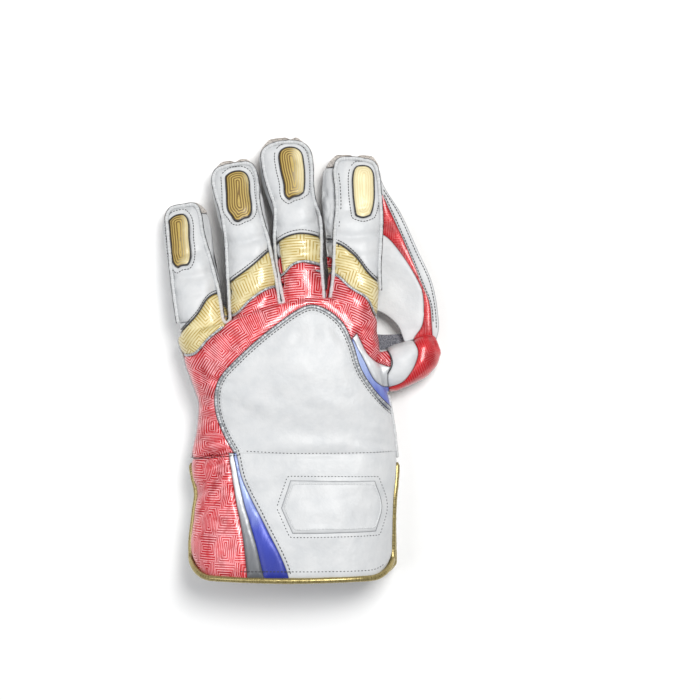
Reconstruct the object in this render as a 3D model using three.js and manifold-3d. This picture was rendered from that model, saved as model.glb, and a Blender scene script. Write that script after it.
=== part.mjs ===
// A left-hand wicketkeeping glove, lying on its palm as it would by itself.
// Millimetres, +Z up, fingers along +Y, thumb towards +X, origin on the flat palm face.
import * as THREE from "three";
import { mergeVertices } from "three/addons/utils/BufferGeometryUtils.js";
import Module from "manifold-3d";

const wasm = await Module();
wasm.setup();

// Hand: from the wrist seam to the crotch beside the middle finger
const HAND_WIDTH = 144;
const HAND_LENGTH = 113;
const HAND_DEPTH = 57;
// The origin lies this far in front of the wrist seam
const PALM_TO_WRIST = 42;
// Cuff: from the wrist seam to the mouth
const CUFF_WIDTH = 151;
const CUFF_LENGTH = 83;
const CUFF_DEPTH = 66;
const CUFF_CORNER = 17;
const SLIT_HEIGHT = 11;
// Fingers: the middle one is FINGER_LENGTH from crotch to tip
const FINGER_LENGTH = 120;
const FINGER_WIDTH = 38;
const FINGER_DEPTH = 44;
const THUMB_LENGTH = 68;
const THUMB_WIDTH = 34;
const THUMB_DEPTH = 33;
// Padded back, leather sides and rubber palm
const BACK_WALL = 3;
const SIDE_WALL = 2.4;
const PALM_WALL = 3;
const CLEARANCE = 0.3;
const WELD = 0.02;
const PIPING_DIAMETER = 3.4;
const PATCH_THICKNESS = 1.2;
// Web between the index finger and the thumb
const WEB_HEIGHT = 21;
const WEB_LEATHER = 1.8;
const WEB_RUBBER = 1.4;
const WEB_SAG = 4;
const KNIT_DROP = 5;
// Heights of the seams, as shares of the depth of the hand or finger
const BACK_SEAM = 0.42;
const PALM_SEAM = 0.2;
const FINGER_BACK_SEAM = 0.29;

// Sections: how square they are, and their number of sides
const BOXINESS = 2.7;
const BODY_SIDES = 20;
const LIMB_SIDES = 12;
const FAR = 230;
const WRIST_Y = -PALM_TO_WRIST;
const MOUTH_Y = WRIST_Y - CUFF_LENGTH;

// Sections of the cuff: along and sides are shares of its length and width, heights of its depth
const CUFF_ROWS = [
  { along: -1.0, left: -0.479, right: 0.484, low: -0.03, high: 1.0 },
  { along: -0.74, left: -0.484, right: 0.484, low: -0.03, high: 0.98 },
  { along: -0.42, left: -0.464, right: 0.49, low: -0.03, high: 0.93 },
  { along: -0.3, left: -0.452, right: 0.496, low: -0.03, high: 0.89 },
  { along: -0.15, left: -0.478, right: 0.504, low: -0.03, high: 0.88 },
];
// Sections of the hand, in the same shares of the hand's own sizes
const HAND_ROWS = [
  { along: 0.0, left: -0.508, right: 0.53, low: -0.04, high: 0.98 },
  { along: 0.18, left: -0.475, right: 0.515, low: -0.04, high: 0.96 },
  { along: 0.36, left: -0.463, right: 0.492, low: -0.04, high: 1.0 },
  { along: 0.6, left: -0.532, right: 0.445, low: -0.04, high: 1.0 },
  { along: 0.78, left: -0.578, right: 0.435, low: -0.02, high: 0.96 },
  { along: 0.92, left: -0.56, right: 0.4, low: 0.03, high: 0.89 },
  { along: 1.08, left: -0.45, right: 0.36, low: 0.08, high: 0.8 },
];
// The crotches between the fingers, and the ends of their line outside the hand
const CROTCHES = [
  [-0.7, 0.72],
  [-0.33, 0.86],
  [-0.06, 0.98],
  [0.18, 1.02],
  [0.6, 1.05],
];
// Lines midway between neighbouring fingers, from each crotch outwards
const GAPS = [
  [[-0.95, 0.9], [-0.95, 2.1]],
  [[-0.405, 1.56], [-0.44, 2.1]],
  [[-0.117, 1.52], [-0.165, 1.8], [-0.21, 2.1]],
  [[0.157, 1.4], [0.132, 1.63], [0.127, 2.1]],
  [[0.6, 2.1]],
];
// Heights along every finger, as shares of FINGER_DEPTH
const FINGER_HEIGHTS = [
  { along: -0.35, low: 0.08, high: 1.06 },
  { along: 0.0, low: 0.1, high: 1.04 },
  { along: 0.3, low: 0.14, high: 0.96 },
  { along: 0.55, low: 0.13, high: 0.84 },
  { along: 0.8, low: 0.05, high: 0.7 },
  { along: 0.95, low: 0.02, high: 0.58 },
  { along: 1.02, low: 0.1, high: 0.42 },
];
// Each finger: base point as shares of the hand, length as a share of FINGER_LENGTH, lean in
// degrees from +Y towards +X, and its sides as shares of FINGER_WIDTH
const FINGERS = {
  little: {
    base: [-0.43, 0.79],
    length: 0.8,
    lean: -9.2,
    sides: [
      { along: -0.35, left: -0.4, right: 0.4 },
      { along: 0.0, left: -0.49, right: 0.5 },
      { along: 0.3, left: -0.5, right: 0.42 },
      { along: 0.55, left: -0.53, right: 0.34 },
      { along: 0.8, left: -0.54, right: 0.38 },
      { along: 0.95, left: -0.5, right: 0.35 },
      { along: 1.0, left: -0.44, right: 0.26 },
      { along: 1.025, left: -0.34, right: 0.14 },
    ],
    band: [[-0.62, 0.0], [-0.09, 0.16], [0.23, 0.29], [0.6, 0.3], [0.38, 0.04], [0.07, -0.03], [-0.29, -0.13], [-0.62, -0.1]],
    back: [[-0.36, 0.1], [-0.34, 0.3], [-0.38, 0.55], [-0.42, 0.8], [-0.38, 0.96], [0.2, 0.96], [0.22, 0.8], [0.18, 0.55], [0.26, 0.3], [0.3, 0.15], [0.0, -0.02]],
    guard: [[-0.36, 0.9], [-0.05, 0.91], [-0.07, 0.57], [-0.17, 0.51], [-0.33, 0.5], [-0.38, 0.54]],
  },
  ring: {
    base: [-0.19, 0.955],
    length: 0.91,
    lean: -7.7,
    sides: [
      { along: -0.35, left: -0.42, right: 0.44 },
      { along: 0.0, left: -0.46, right: 0.52 },
      { along: 0.22, left: -0.43, right: 0.52 },
      { along: 0.45, left: -0.35, right: 0.5 },
      { along: 0.62, left: -0.45, right: 0.44 },
      { along: 0.83, left: -0.51, right: 0.42 },
      { along: 0.95, left: -0.48, right: 0.37 },
      { along: 1.0, left: -0.38, right: 0.3 },
      { along: 1.02, left: -0.26, right: 0.2 },
    ],
    band: [[-0.62, 0.16], [0.05, 0.28], [0.62, 0.42], [0.62, 0.14], [0.3, 0.12], [-0.04, 0.06], [-0.36, -0.02], [-0.62, -0.02]],
    back: [[-0.3, 0.1], [-0.26, 0.45], [-0.34, 0.7], [-0.38, 0.9], [-0.3, 0.96], [0.3, 0.96], [0.3, 0.85], [0.28, 0.6], [0.34, 0.45], [0.38, 0.25], [0.0, 0.1]],
    guard: [[-0.17, 0.91], [0.21, 0.91], [0.2, 0.75], [0.15, 0.61], [-0.08, 0.57], [-0.2, 0.7]],
  },
  middle: {
    base: [0.066, 1.006],
    length: 1.0,
    lean: -5.2,
    sides: [
      { along: -0.35, left: -0.4, right: 0.42 },
      { along: 0.0, left: -0.43, right: 0.42 },
      { along: 0.36, left: -0.46, right: 0.41 },
      { along: 0.56, left: -0.46, right: 0.36 },
      { along: 0.75, left: -0.62, right: 0.36 },
      { along: 0.93, left: -0.64, right: 0.34 },
      { along: 0.99, left: -0.54, right: 0.24 },
      { along: 1.015, left: -0.4, right: 0.1 },
    ],
    band: [[-0.62, 0.34], [-0.21, 0.4], [0.04, 0.41], [0.62, 0.36], [0.62, 0.18], [0.01, 0.24], [-0.19, 0.22], [-0.37, 0.17], [-0.62, 0.16]],
    back: [[-0.32, 0.3], [-0.32, 0.55], [-0.46, 0.75], [-0.5, 0.9], [-0.4, 0.955], [0.16, 0.955], [0.24, 0.85], [0.22, 0.56], [0.3, 0.4], [0.0, 0.3]],
    guard: [[-0.21, 0.93], [0.06, 0.93], [0.17, 0.86], [0.16, 0.65], [-0.09, 0.61], [-0.21, 0.73]],
  },
  index: {
    base: [0.304, 0.985],
    length: 0.907,
    lean: 1.2,
    sides: [
      { along: -0.45, left: -0.48, right: 0.46 },
      { along: 0.0, left: -0.47, right: 0.48 },
      { along: 0.15, left: -0.49, right: 0.5 },
      { along: 0.5, left: -0.55, right: 0.54 },
      { along: 0.7, left: -0.62, right: 0.54 },
      { along: 0.9, left: -0.61, right: 0.5 },
      { along: 0.98, left: -0.5, right: 0.44 },
      { along: 1.015, left: -0.36, right: 0.32 },
    ],
    band: [[-0.7, 0.42], [-0.33, 0.41], [0.02, 0.33], [0.33, 0.2], [0.7, 0.1], [0.7, -0.1], [0.49, -0.08], [0.29, 0.04], [-0.03, 0.11], [-0.34, 0.2], [-0.7, 0.22]],
    back: [[-0.3, 0.3], [-0.3, 0.6], [-0.34, 0.85], [-0.24, 0.95], [0.3, 0.95], [0.42, 0.85], [0.42, 0.55], [0.4, 0.2], [0.1, 0.2]],
    guard: [[0.0, 0.92], [0.28, 0.92], [0.34, 0.77], [0.3, 0.59], [0.03, 0.59], [-0.02, 0.76]],
  },
};
// The thumb leaves the hand under its edge, lean from +Y towards +X
const THUMB = {
  base: [0.294, 0.472],
  lean: 69.3,
  sides: [
    { along: -0.3, left: -0.4, right: 0.42, low: 0.03, high: 0.95 },
    { along: 0.25, left: -0.44, right: 0.48, low: 0.0, high: 1.0 },
    { along: 0.6, left: -0.45, right: 0.46, low: -0.02, high: 1.0 },
    { along: 0.8, left: -0.43, right: 0.42, low: 0.0, high: 0.95 },
    { along: 0.95, left: -0.42, right: 0.27, low: 0.04, high: 0.84 },
    { along: 1.03, left: -0.36, right: 0.05, low: 0.16, high: 0.66 },
  ],
};
// Panels of the back, as outlines in shares of the hand (the cuff's length below the seam)
const BACK_SEAM_LINE = 0.045;
const CENTRE_LEFT = [[-0.27, BACK_SEAM_LINE], [-0.32, 0.15], [-0.36, 0.28], [-0.37, 0.38], [-0.35, 0.5], [-0.26, 0.63], [-0.15, 0.76], [-0.06, 0.85], [0.04, 0.94], [0.1, 0.97]];
const CENTRE_RIGHT = [[0.16, 0.95], [0.25, 0.86], [0.3, 0.73], [0.34, 0.57], [0.41, 0.43], [0.5, 0.31]];
const BACK_PANEL = [...CENTRE_LEFT, ...CENTRE_RIGHT, [0.7, 0.28], [0.7, BACK_SEAM_LINE]];
const CUFF_PANEL = [[-0.27, BACK_SEAM_LINE], [0.7, BACK_SEAM_LINE], [0.7, -1.2], [0.02, -1.2], [-0.02, -0.92], [-0.14, -0.5], [-0.24, -0.16]];
const CUFF_BLUE = [[-0.27, BACK_SEAM_LINE], [-0.24, -0.16], [-0.14, -0.5], [-0.02, -0.92], [0.02, -1.2], [-0.1, -1.2], [-0.17, -0.7], [-0.24, -0.3], [-0.285, BACK_SEAM_LINE]];
const CUFF_SILVER = [[-0.285, BACK_SEAM_LINE], [-0.24, -0.3], [-0.17, -0.7], [-0.1, -1.2], [-0.2, -1.2], [-0.23, -0.7], [-0.28, -0.25], [-0.31, BACK_SEAM_LINE]];
const CUFF_RED = [[-0.31, BACK_SEAM_LINE], [-0.28, -0.25], [-0.23, -0.7], [-0.2, -1.2], [-0.8, -1.2], [-0.8, 0.0], [-0.5, 0.0]];
const SIDE_BLUE = [[0.3, 0.73], [0.34, 0.57], [0.41, 0.43], [0.5, 0.31], [0.6, 0.28], [0.6, 0.42], [0.47, 0.46], [0.42, 0.5], [0.37, 0.62], [0.31, 0.77]];
const SIDE_SILVER = [[0.31, 0.77], [0.37, 0.62], [0.42, 0.5], [0.47, 0.46], [0.6, 0.42], [0.6, 0.55], [0.43, 0.62], [0.38, 0.68], [0.33, 0.8]];
const KNUCKLE_BAND = [[-0.9, 0.0], [-0.31, 0.0], [0.7, 0.4], [0.7, 0.86], [0.44, 1.0], [0.31, 1.2], [0.17, 1.3], [0.04, 1.34], [-0.09, 1.27], [-0.21, 1.12], [-0.33, 0.99], [-0.44, 0.86], [-0.55, 0.71], [-0.9, 0.6]];
const PATCH = [[-0.045, -0.4], [0.0, -0.17], [0.42, -0.18], [0.456, -0.4], [0.425, -0.61], [0.012, -0.615]];
// Thumb panels and web, in shares of the hand
const THUMB_FIELD = [[0.455, 0.76], [0.495, 0.67], [0.5, 0.6], [0.485, 0.53], [0.5, 0.4], [0.54, 0.2], [0.95, 0.2], [0.95, 1.0], [0.46, 0.9]];
const THUMB_BAND = [[0.61, 0.78], [0.64, 0.69], [0.63, 0.62], [0.6, 0.54], [0.56, 0.48], [0.46, 0.44], [0.46, 0.2], [0.95, 0.2], [0.95, 1.0], [0.6, 1.0]];
const WEB = [[0.36, 1.9], [0.42, 1.9], [0.47, 1.75], [0.55, 1.59], [0.64, 1.34], [0.71, 1.14], [0.74, 0.95], [0.745, 0.82], [0.7, 0.66], [0.6, 0.66], [0.565, 0.77], [0.54, 0.85], [0.47, 0.93], [0.36, 0.98]];
const WEB_STRIPE = [[0.36, 1.7], [0.46, 1.7], [0.53, 1.51], [0.6, 1.31], [0.66, 1.12], [0.7, 0.99], [0.71, 0.86], [0.72, 0.6], [0.6, 0.6], [0.615, 0.76], [0.66, 0.85], [0.67, 0.97], [0.66, 1.08], [0.62, 1.19], [0.55, 1.33], [0.48, 1.43], [0.36, 1.5]];
const WEB_INSIDE = [[0.36, 1.5], [0.48, 1.43], [0.55, 1.33], [0.62, 1.19], [0.66, 1.08], [0.67, 0.97], [0.66, 0.85], [0.615, 0.76], [0.58, 0.5], [0.2, 0.5], [0.2, 1.5]];
const KNIT = [[0.4, 0.8], [0.47, 0.795], [0.575, 0.8], [0.6, 0.7], [0.5, 0.64], [0.4, 0.64]];

// A Catmull-Rom value of every column of a table, at a place counted in rows
function mixed(rows, place) {
  const first = Math.min(Math.floor(place), rows.length - 2);
  const t = place - first;
  const row = (k) => rows[Math.max(0, Math.min(rows.length - 1, first + k))];
  const values = {};
  for (const key of Object.keys(rows[0])) {
    const [a, b, c, d] = [row(-1)[key], row(0)[key], row(1)[key], row(2)[key]];
    const bend = 2 * a - 5 * b + 4 * c - d + t * (3 * b - a - 3 * c + d);
    values[key] = b + 0.5 * t * (c - a + t * bend);
  }
  return values;
}

// A linear value of one column at a given place along a table
function columnAt(rows, key, along) {
  let i = 0;
  while (i < rows.length - 2 && rows[i + 1].along < along) i++;
  const share = (along - rows[i].along) / (rows[i + 1].along - rows[i].along);
  return THREE.MathUtils.lerp(rows[i][key], rows[i + 1][key], THREE.MathUtils.clamp(share, 0, 1));
}

// A closed mesh as a solid
function solidOf(vertices, triangles) {
  return new wasm.Manifold(new wasm.Mesh({
    numProp: 3,
    vertProperties: new Float32Array(vertices),
    triVerts: new Uint32Array(triangles),
  }));
}

function solidOfGeometry(geometry) {
  const bare = geometry.clone();
  bare.deleteAttribute("normal");
  bare.deleteAttribute("uv");
  const merged = mergeVertices(bare, 1e-4);
  return solidOf(merged.attributes.position.array, merged.index.array);
}

// Where the side of a boxy section lies, at an angle from the +side direction
function sectionPoint(row, grow, angle) {
  const left = row.left - grow.side;
  const right = row.right + grow.side;
  const low = row.low - grow.low;
  const high = row.high + grow.high;
  const middle = THREE.MathUtils.lerp(low, high, BACK_SEAM);
  const power = (value) => Math.sign(value) * Math.abs(value) ** (2 / BOXINESS);
  const across = power(Math.cos(angle));
  const up = power(Math.sin(angle));
  const side = (left + right) / 2 + (across * (right - left)) / 2;
  return [side, middle + up * (up > 0 ? high - middle : middle - low)];
}

// A closed tube through boxy sections; put maps (along, side, height) to a point
function tube(rows, put, grow, around) {
  const vertices = [];
  const triangles = [];
  const rings = rows.length;
  for (const row of rows) {
    for (let k = 0; k < around; k++) {
      const [side, height] = sectionPoint(row, grow, (2 * Math.PI * (k + 0.5)) / around);
      vertices.push(...put(row.along, side, height));
    }
  }
  const id = (ring, k) => ring * around + (k % around);
  for (let k = 0; k < around; k++) {
    for (let i = 0; i < rings - 1; i++) {
      triangles.push(id(i, k), id(i + 1, k), id(i + 1, k + 1));
      triangles.push(id(i, k), id(i + 1, k + 1), id(i, k + 1));
    }
  }
  for (let k = 1; k < around - 1; k++) {
    triangles.push(id(0, 0), id(0, k), id(0, k + 1));
    triangles.push(id(rings - 1, 0), id(rings - 1, k + 1), id(rings - 1, k));
  }
  return solidOf(vertices, triangles);
}

// Points in shares of the hand, as plan points; below the wrist the cuff's length counts
function handPoint([across, along]) {
  return [across * HAND_WIDTH, WRIST_Y + along * (along < 0 ? CUFF_LENGTH : HAND_LENGTH)];
}

// A frame along a finger or the thumb: shares of its width and length to plan points
function limbFrame(base, lean, length, width) {
  const [x, y] = handPoint(base);
  const turn = THREE.MathUtils.degToRad(lean);
  const ahead = [Math.sin(turn), Math.cos(turn)];
  const side = [Math.cos(turn), -Math.sin(turn)];
  const at = (across, along) => [
    x + ahead[0] * along * length + side[0] * across * width,
    y + ahead[1] * along * length + side[1] * across * width,
  ];
  const put = (along, across, height) => [...at(across / width, along), height];
  return { at, put, ahead, side, base: [x, y], length, width };
}

const fingerFrames = Object.fromEntries(Object.entries(FINGERS).map(([name, finger]) => [
  name,
  limbFrame(finger.base, finger.lean, finger.length * FINGER_LENGTH, FINGER_WIDTH),
]));
const thumbFrame = limbFrame(THUMB.base, THUMB.lean, THUMB_LENGTH, THUMB_WIDTH);

// An outline moved out by a margin, whichever way round it runs
function grown(points, margin) {
  const turn = THREE.ShapeUtils.isClockWise(points.map(([x, y]) => new THREE.Vector2(x, y))) ? -1 : 1;
  return points.map((point, i) => {
    const before = points[(i + points.length - 1) % points.length];
    const after = points[(i + 1) % points.length];
    const into = new THREE.Vector2(point[0] - before[0], point[1] - before[1]).normalize();
    const out = new THREE.Vector2(after[0] - point[0], after[1] - point[1]).normalize();
    const normal = new THREE.Vector2(into.y + out.y, -into.x - out.x).normalize();
    const stretch = Math.max(0.5, normal.x * into.y - normal.y * into.x);
    return [point[0] + (turn * margin * normal.x) / stretch, point[1] + (turn * margin * normal.y) / stretch];
  });
}

// An upright prism of a plan outline between two heights
function prism(points, low, high, margin = 0) {
  const shape = new THREE.Shape(grown(points, margin).map(([x, y]) => new THREE.Vector2(x, y)));
  const depth = high - low + 2 * margin;
  const geometry = new THREE.ExtrudeGeometry(shape, { depth, bevelEnabled: false });
  geometry.translate(0, 0, low - margin);
  return solidOfGeometry(geometry);
}

// A prism of a side profile (along, height), crossing the part in the direction of frame.side
function sideCut(profile, frame, margin = 0) {
  const shape = new THREE.Shape(grown(profile, margin).map(([a, h]) => new THREE.Vector2(a, h)));
  const geometry = new THREE.ExtrudeGeometry(shape, { depth: 2 * FAR, bevelEnabled: false });
  geometry.translate(0, 0, -FAR);
  const matrix = new THREE.Matrix4().makeBasis(
    new THREE.Vector3(...frame.ahead, 0),
    new THREE.Vector3(0, 0, 1),
    new THREE.Vector3(...frame.side, 0),
  );
  matrix.setPosition(frame.base[0], frame.base[1], 0);
  geometry.applyMatrix4(matrix);
  return solidOfGeometry(geometry);
}

const WHOLE = [[-FAR, -FAR], [FAR, -FAR], [FAR, FAR], [-FAR, FAR]];
const acrossHand = { ahead: [0, 1], side: [1, 0], base: [0, 0] };

// The hand and cuff as rows in millimetres
const bodyRows = [
  ...CUFF_ROWS.map((row) => ({
    along: WRIST_Y + row.along * CUFF_LENGTH,
    left: row.left * CUFF_WIDTH,
    right: row.right * CUFF_WIDTH,
    low: row.low * CUFF_DEPTH,
    high: row.high * CUFF_DEPTH,
  })),
  ...HAND_ROWS.map((row) => ({
    along: WRIST_Y + row.along * HAND_LENGTH,
    left: row.left * HAND_WIDTH,
    right: row.right * HAND_WIDTH,
    low: row.low * HAND_DEPTH,
    high: row.high * HAND_DEPTH,
  })),
];
const openRow = { ...bodyRows[0], along: MOUTH_Y - CUFF_CORNER };
const putBody = (along, side, height) => [side, along, height];

function handField(margin) {
  const line = CROTCHES.map(handPoint);
  return prism([[-FAR, -FAR], [FAR, -FAR], [FAR, line.at(-1)[1]], ...line.toReversed(), [-FAR, line[0][1]]], -FAR, FAR, margin);
}

function fingerField(number, margin) {
  const left = [CROTCHES[number], ...GAPS[number]];
  const right = [CROTCHES[number + 1], ...GAPS[number + 1]];
  return prism([...left, ...right.toReversed()].map(handPoint), -FAR, FAR, margin);
}

function fingerTube(name, grow) {
  const rows = FINGERS[name].sides.map((row) => ({
    along: row.along,
    left: row.left * FINGER_WIDTH,
    right: row.right * FINGER_WIDTH,
    low: columnAt(FINGER_HEIGHTS, "low", row.along) * FINGER_DEPTH,
    high: columnAt(FINGER_HEIGHTS, "high", row.along) * FINGER_DEPTH,
  }));
  rows.at(-1).along += grow.side / fingerFrames[name].length;
  return tube(rows, fingerFrames[name].put, grow, LIMB_SIDES);
}

function thumbTube(grow) {
  const rows = THUMB.sides.map((row) => ({
    along: row.along,
    left: row.left * THUMB_WIDTH,
    right: row.right * THUMB_WIDTH,
    low: row.low * THUMB_DEPTH,
    high: row.high * THUMB_DEPTH,
  }));
  rows.at(-1).along += grow.side / THUMB_LENGTH;
  return tube(rows, thumbFrame.put, grow, LIMB_SIDES);
}

// The whole outer or inner form, its walls moved out by grow
function form(grow, floor) {
  const rows = grow.side < 0 ? [openRow, ...bodyRows] : bodyRows;
  let whole = tube(rows, putBody, grow, BODY_SIDES).intersect(handField(grow.side));
  for (const name of Object.keys(FINGERS)) whole = whole.add(fingerTube(name, grow));
  return whole.add(thumbTube(grow)).intersect(prism(WHOLE, floor, FAR));
}

const even = (amount) => ({ side: amount, low: amount, high: amount });
const outside = form(even(0), 0);
const hollow = form({ side: -SIDE_WALL, low: -PALM_WALL, high: -BACK_WALL }, PALM_WALL);

// The mouth's corners are rounded in plan, and a slit parts the back flap from the palm flap
const mouth = bodyRows[0];
const slitMiddle = mouth.low + BACK_SEAM * (mouth.high - mouth.low);

function cornerLine(x) {
  const over = Math.max(0, mouth.left + CUFF_CORNER - x, x - mouth.right + CUFF_CORNER);
  return MOUTH_Y + CUFF_CORNER - Math.sqrt(Math.max(0, CUFF_CORNER ** 2 - over ** 2));
}

function mouthField() {
  const steps = 8;
  const arc = (edge, way) => Array.from({ length: steps + 1 }, (_, i) => {
    const angle = (Math.PI / 2) * (i / steps);
    const x = edge - way * CUFF_CORNER * (1 - Math.sin(angle));
    return [x, MOUTH_Y + CUFF_CORNER * (1 - Math.cos(angle))];
  });
  return prism([
    ...arc(mouth.right, 1),
    [FAR, MOUTH_Y + CUFF_CORNER],
    [FAR, FAR],
    [-FAR, FAR],
    [-FAR, MOUTH_Y + CUFF_CORNER],
    ...arc(mouth.left, -1).toReversed(),
  ], -FAR, FAR);
}

// Height of the slit's edge above (way 1) or below (way -1) its middle
function slitEdge(y, way) {
  const open = THREE.MathUtils.clamp((WRIST_Y - y) / (CUFF_LENGTH / 3), 0, 1);
  return slitMiddle + (way * SLIT_HEIGHT * open) / 2;
}
const slitEnd = WRIST_Y - CUFF_LENGTH / 3;
const slit = sideCut([
  [WRIST_Y, slitMiddle],
  [slitEnd, slitEdge(slitEnd, 1)],
  [MOUTH_Y - CUFF_CORNER, slitEdge(MOUTH_Y, 1)],
  [MOUTH_Y - CUFF_CORNER, slitEdge(MOUTH_Y, -1)],
  [slitEnd, slitEdge(slitEnd, -1)],
], acrossHand);

// Piping: a cord round the free edge of a flap (way 1 the back flap, -1 the palm flap)
function edgePoint(angle, y, way) {
  let point = [0, 0];
  let along = y;
  const grow = even(-SIDE_WALL / 2);
  for (let pass = 0; pass < 4; pass++) {
    const row = mixed(bodyRows, rowPlace(along));
    point = sectionPoint(row, grow, angle);
    if (y === null) along = cornerLine(point[0]);
  }
  return new THREE.Vector3(point[0], along, Math.max(point[1], way < 0 ? PALM_WALL / 2 : 0));
}

function rowPlace(y) {
  const inside = Math.max(bodyRows[0].along, y ?? bodyRows[0].along);
  let i = 0;
  while (i < bodyRows.length - 2 && bodyRows[i + 1].along < inside) i++;
  return i + (inside - bodyRows[i].along) / (bodyRows[i + 1].along - bodyRows[i].along);
}

// The angle at which a section at y meets the slit's edge, on the right of the cuff
function slitAngle(y, way) {
  const row = mixed(bodyRows, rowPlace(y));
  const middle = THREE.MathUtils.lerp(row.low, row.high, BACK_SEAM);
  const reach = way > 0 ? row.high - middle : middle - row.low;
  const share = THREE.MathUtils.clamp((slitEdge(y, way) - middle) / (way * reach), 0.02, 0.9);
  return way * Math.asin(share ** (BOXINESS / 2));
}

function piping(way, radius) {
  const sideSteps = 4;
  const archSteps = 16;
  const cornerY = MOUTH_Y + CUFF_CORNER;
  const side = (turned) => Array.from({ length: sideSteps }, (_, i) => {
    const y = THREE.MathUtils.lerp(WRIST_Y - PIPING_DIAMETER, cornerY + PIPING_DIAMETER, i / (sideSteps - 1));
    const angle = slitAngle(y, way);
    return edgePoint(turned ? Math.PI - angle : angle, y, way);
  });
  const start = slitAngle(cornerY, way);
  const arch = Array.from({ length: archSteps + 1 }, (_, i) => {
    const angle = THREE.MathUtils.lerp(start, way * Math.PI - start, i / archSteps);
    return edgePoint(angle, null, way);
  });
  const path = new THREE.CatmullRomCurve3([...side(false), ...arch, ...side(true).toReversed()]);
  const circle = new THREE.Shape().absarc(0, 0, radius, 0, 2 * Math.PI);
  const steps = 32;
  return solidOfGeometry(new THREE.ExtrudeGeometry(circle, { steps, curveSegments: 3, extrudePath: path }));
}

const pipingGap = PIPING_DIAMETER / 2 + CLEARANCE;
let rest = outside.subtract(hollow).intersect(mouthField()).subtract(slit);
rest = rest.subtract(piping(1, pipingGap)).subtract(piping(-1, pipingGap));

const materials = {
  leather: new THREE.MeshStandardMaterial({ color: 0xe6e9ec, roughness: 0.55, metalness: 0 }),
  red: new THREE.MeshStandardMaterial({ color: 0xd8202c, roughness: 0.35, metalness: 0.1 }),
  gold: new THREE.MeshStandardMaterial({ color: 0xe3c878, roughness: 0.35, metalness: 0.4 }),
  guard: new THREE.MeshStandardMaterial({ color: 0xcfae62, roughness: 0.4, metalness: 0.5 }),
  silver: new THREE.MeshStandardMaterial({ color: 0xa9adb3, roughness: 0.35, metalness: 0.6 }),
  blue: new THREE.MeshStandardMaterial({ color: 0x2b3fb8, roughness: 0.35, metalness: 0.2 }),
  rubber: new THREE.MeshStandardMaterial({ color: 0xcdc6c0, roughness: 0.8, metalness: 0 }),
  piping: new THREE.MeshStandardMaterial({ color: 0xb49c58, roughness: 0.35, metalness: 0.6 }),
  knit: new THREE.MeshStandardMaterial({ color: 0x7f818c, roughness: 0.95, metalness: 0 }),
};

const glove = new THREE.Group();

// The one body that matters of a cut; crumbs that a seam leaves are dropped
function mainBody(solid) {
  return solid.decompose().reduce((best, body) => (body.volume() > best.volume() ? body : best));
}

// A solid's mesh, with the corners that a cut leaves closer than WELD joined into one
function welded(solid) {
  const { vertProperties, triVerts } = mainBody(solid).getMesh();
  const loose = new THREE.BufferGeometry();
  loose.setAttribute("position", new THREE.BufferAttribute(new Float32Array(vertProperties), 3));
  loose.setIndex(new THREE.BufferAttribute(new Uint32Array(triVerts), 1));
  const geometry = mergeVertices(loose, WELD);
  const corners = geometry.index.array;
  const kept = [];
  for (let i = 0; i < corners.length; i += 3) {
    const [a, b, c] = corners.slice(i, i + 3);
    if (a !== b && b !== c && c !== a) kept.push(a, b, c);
  }
  geometry.setIndex(kept);
  return geometry;
}

function addPiece(name, solid, material) {
  const geometry = welded(solid);
  geometry.computeVertexNormals();
  const mesh = new THREE.Mesh(geometry, material);
  mesh.name = name;
  glove.add(mesh);
}

// Takes a region of the shell as a piece, and leaves a seam's gap round it
function peel(name, region, material) {
  addPiece(name, rest.intersect(region(0)), material);
  rest = rest.subtract(region(CLEARANCE));
}

const handPanel = (outline, low) => (margin) => prism(outline.map(handPoint), low, FAR, margin);
const fingerPanel = (frame, outline, low) => (margin) =>
  prism(outline.map(([across, along]) => frame.at(across, along)), low, FAR, margin);

const fingerBackSeam = FINGER_BACK_SEAM * FINGER_DEPTH;
const handBackSeam = BACK_SEAM * HAND_DEPTH;
const palmSeam = PALM_SEAM * HAND_DEPTH;

// The patch lies on the cuff panel
const patchRegion = handPanel(PATCH, slitMiddle)(0);
const patchTop = tube(bodyRows, putBody, even(CLEARANCE + PATCH_THICKNESS), BODY_SIDES);
const patchUnder = tube(bodyRows, putBody, even(CLEARANCE), BODY_SIDES);
addPiece("cuff_patch", patchTop.subtract(patchUnder).intersect(patchRegion), materials.leather);

// Backs of the fingers, each with its guard in a window and its band across the base
for (const [name, finger] of Object.entries(FINGERS)) {
  const frame = fingerFrames[name];
  peel(`${name}_guard`, fingerPanel(frame, finger.guard, fingerBackSeam), materials.guard);
  peel(`${name}_band`, fingerPanel(frame, finger.band, handBackSeam), materials.gold);
  peel(`${name}_back`, fingerPanel(frame, finger.back, fingerBackSeam), materials.leather);
}

// Thumb: a red band round a leather back, over rubber
const thumbPart = (outline, low, high) => (margin) =>
  prism(THUMB_FIELD.map(handPoint), low, high, margin).intersect(prism(outline.map(handPoint), low, high, margin));
peel("thumb_rubber", thumbPart(THUMB_FIELD, -FAR, palmSeam), materials.rubber);
peel("thumb_band", thumbPart(THUMB_BAND, palmSeam, FAR), materials.red);
peel("thumb_back", thumbPart(THUMB_FIELD, palmSeam, FAR), materials.leather);

// Back of the hand and of the cuff
peel("back_panel", handPanel(BACK_PANEL, handBackSeam), materials.leather);
peel("cuff_panel", handPanel(CUFF_PANEL, slitMiddle), materials.leather);
peel("cuff_blue", handPanel(CUFF_BLUE, slitMiddle), materials.blue);
peel("cuff_silver", handPanel(CUFF_SILVER, slitMiddle), materials.silver);
peel("cuff_red", handPanel(CUFF_RED, slitMiddle), materials.red);
peel("side_blue", handPanel(SIDE_BLUE, handBackSeam), materials.blue);
peel("side_silver", handPanel(SIDE_SILVER, handBackSeam), materials.silver);
peel("knuckle_band", handPanel(KNUCKLE_BAND, handBackSeam), materials.red);

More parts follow.
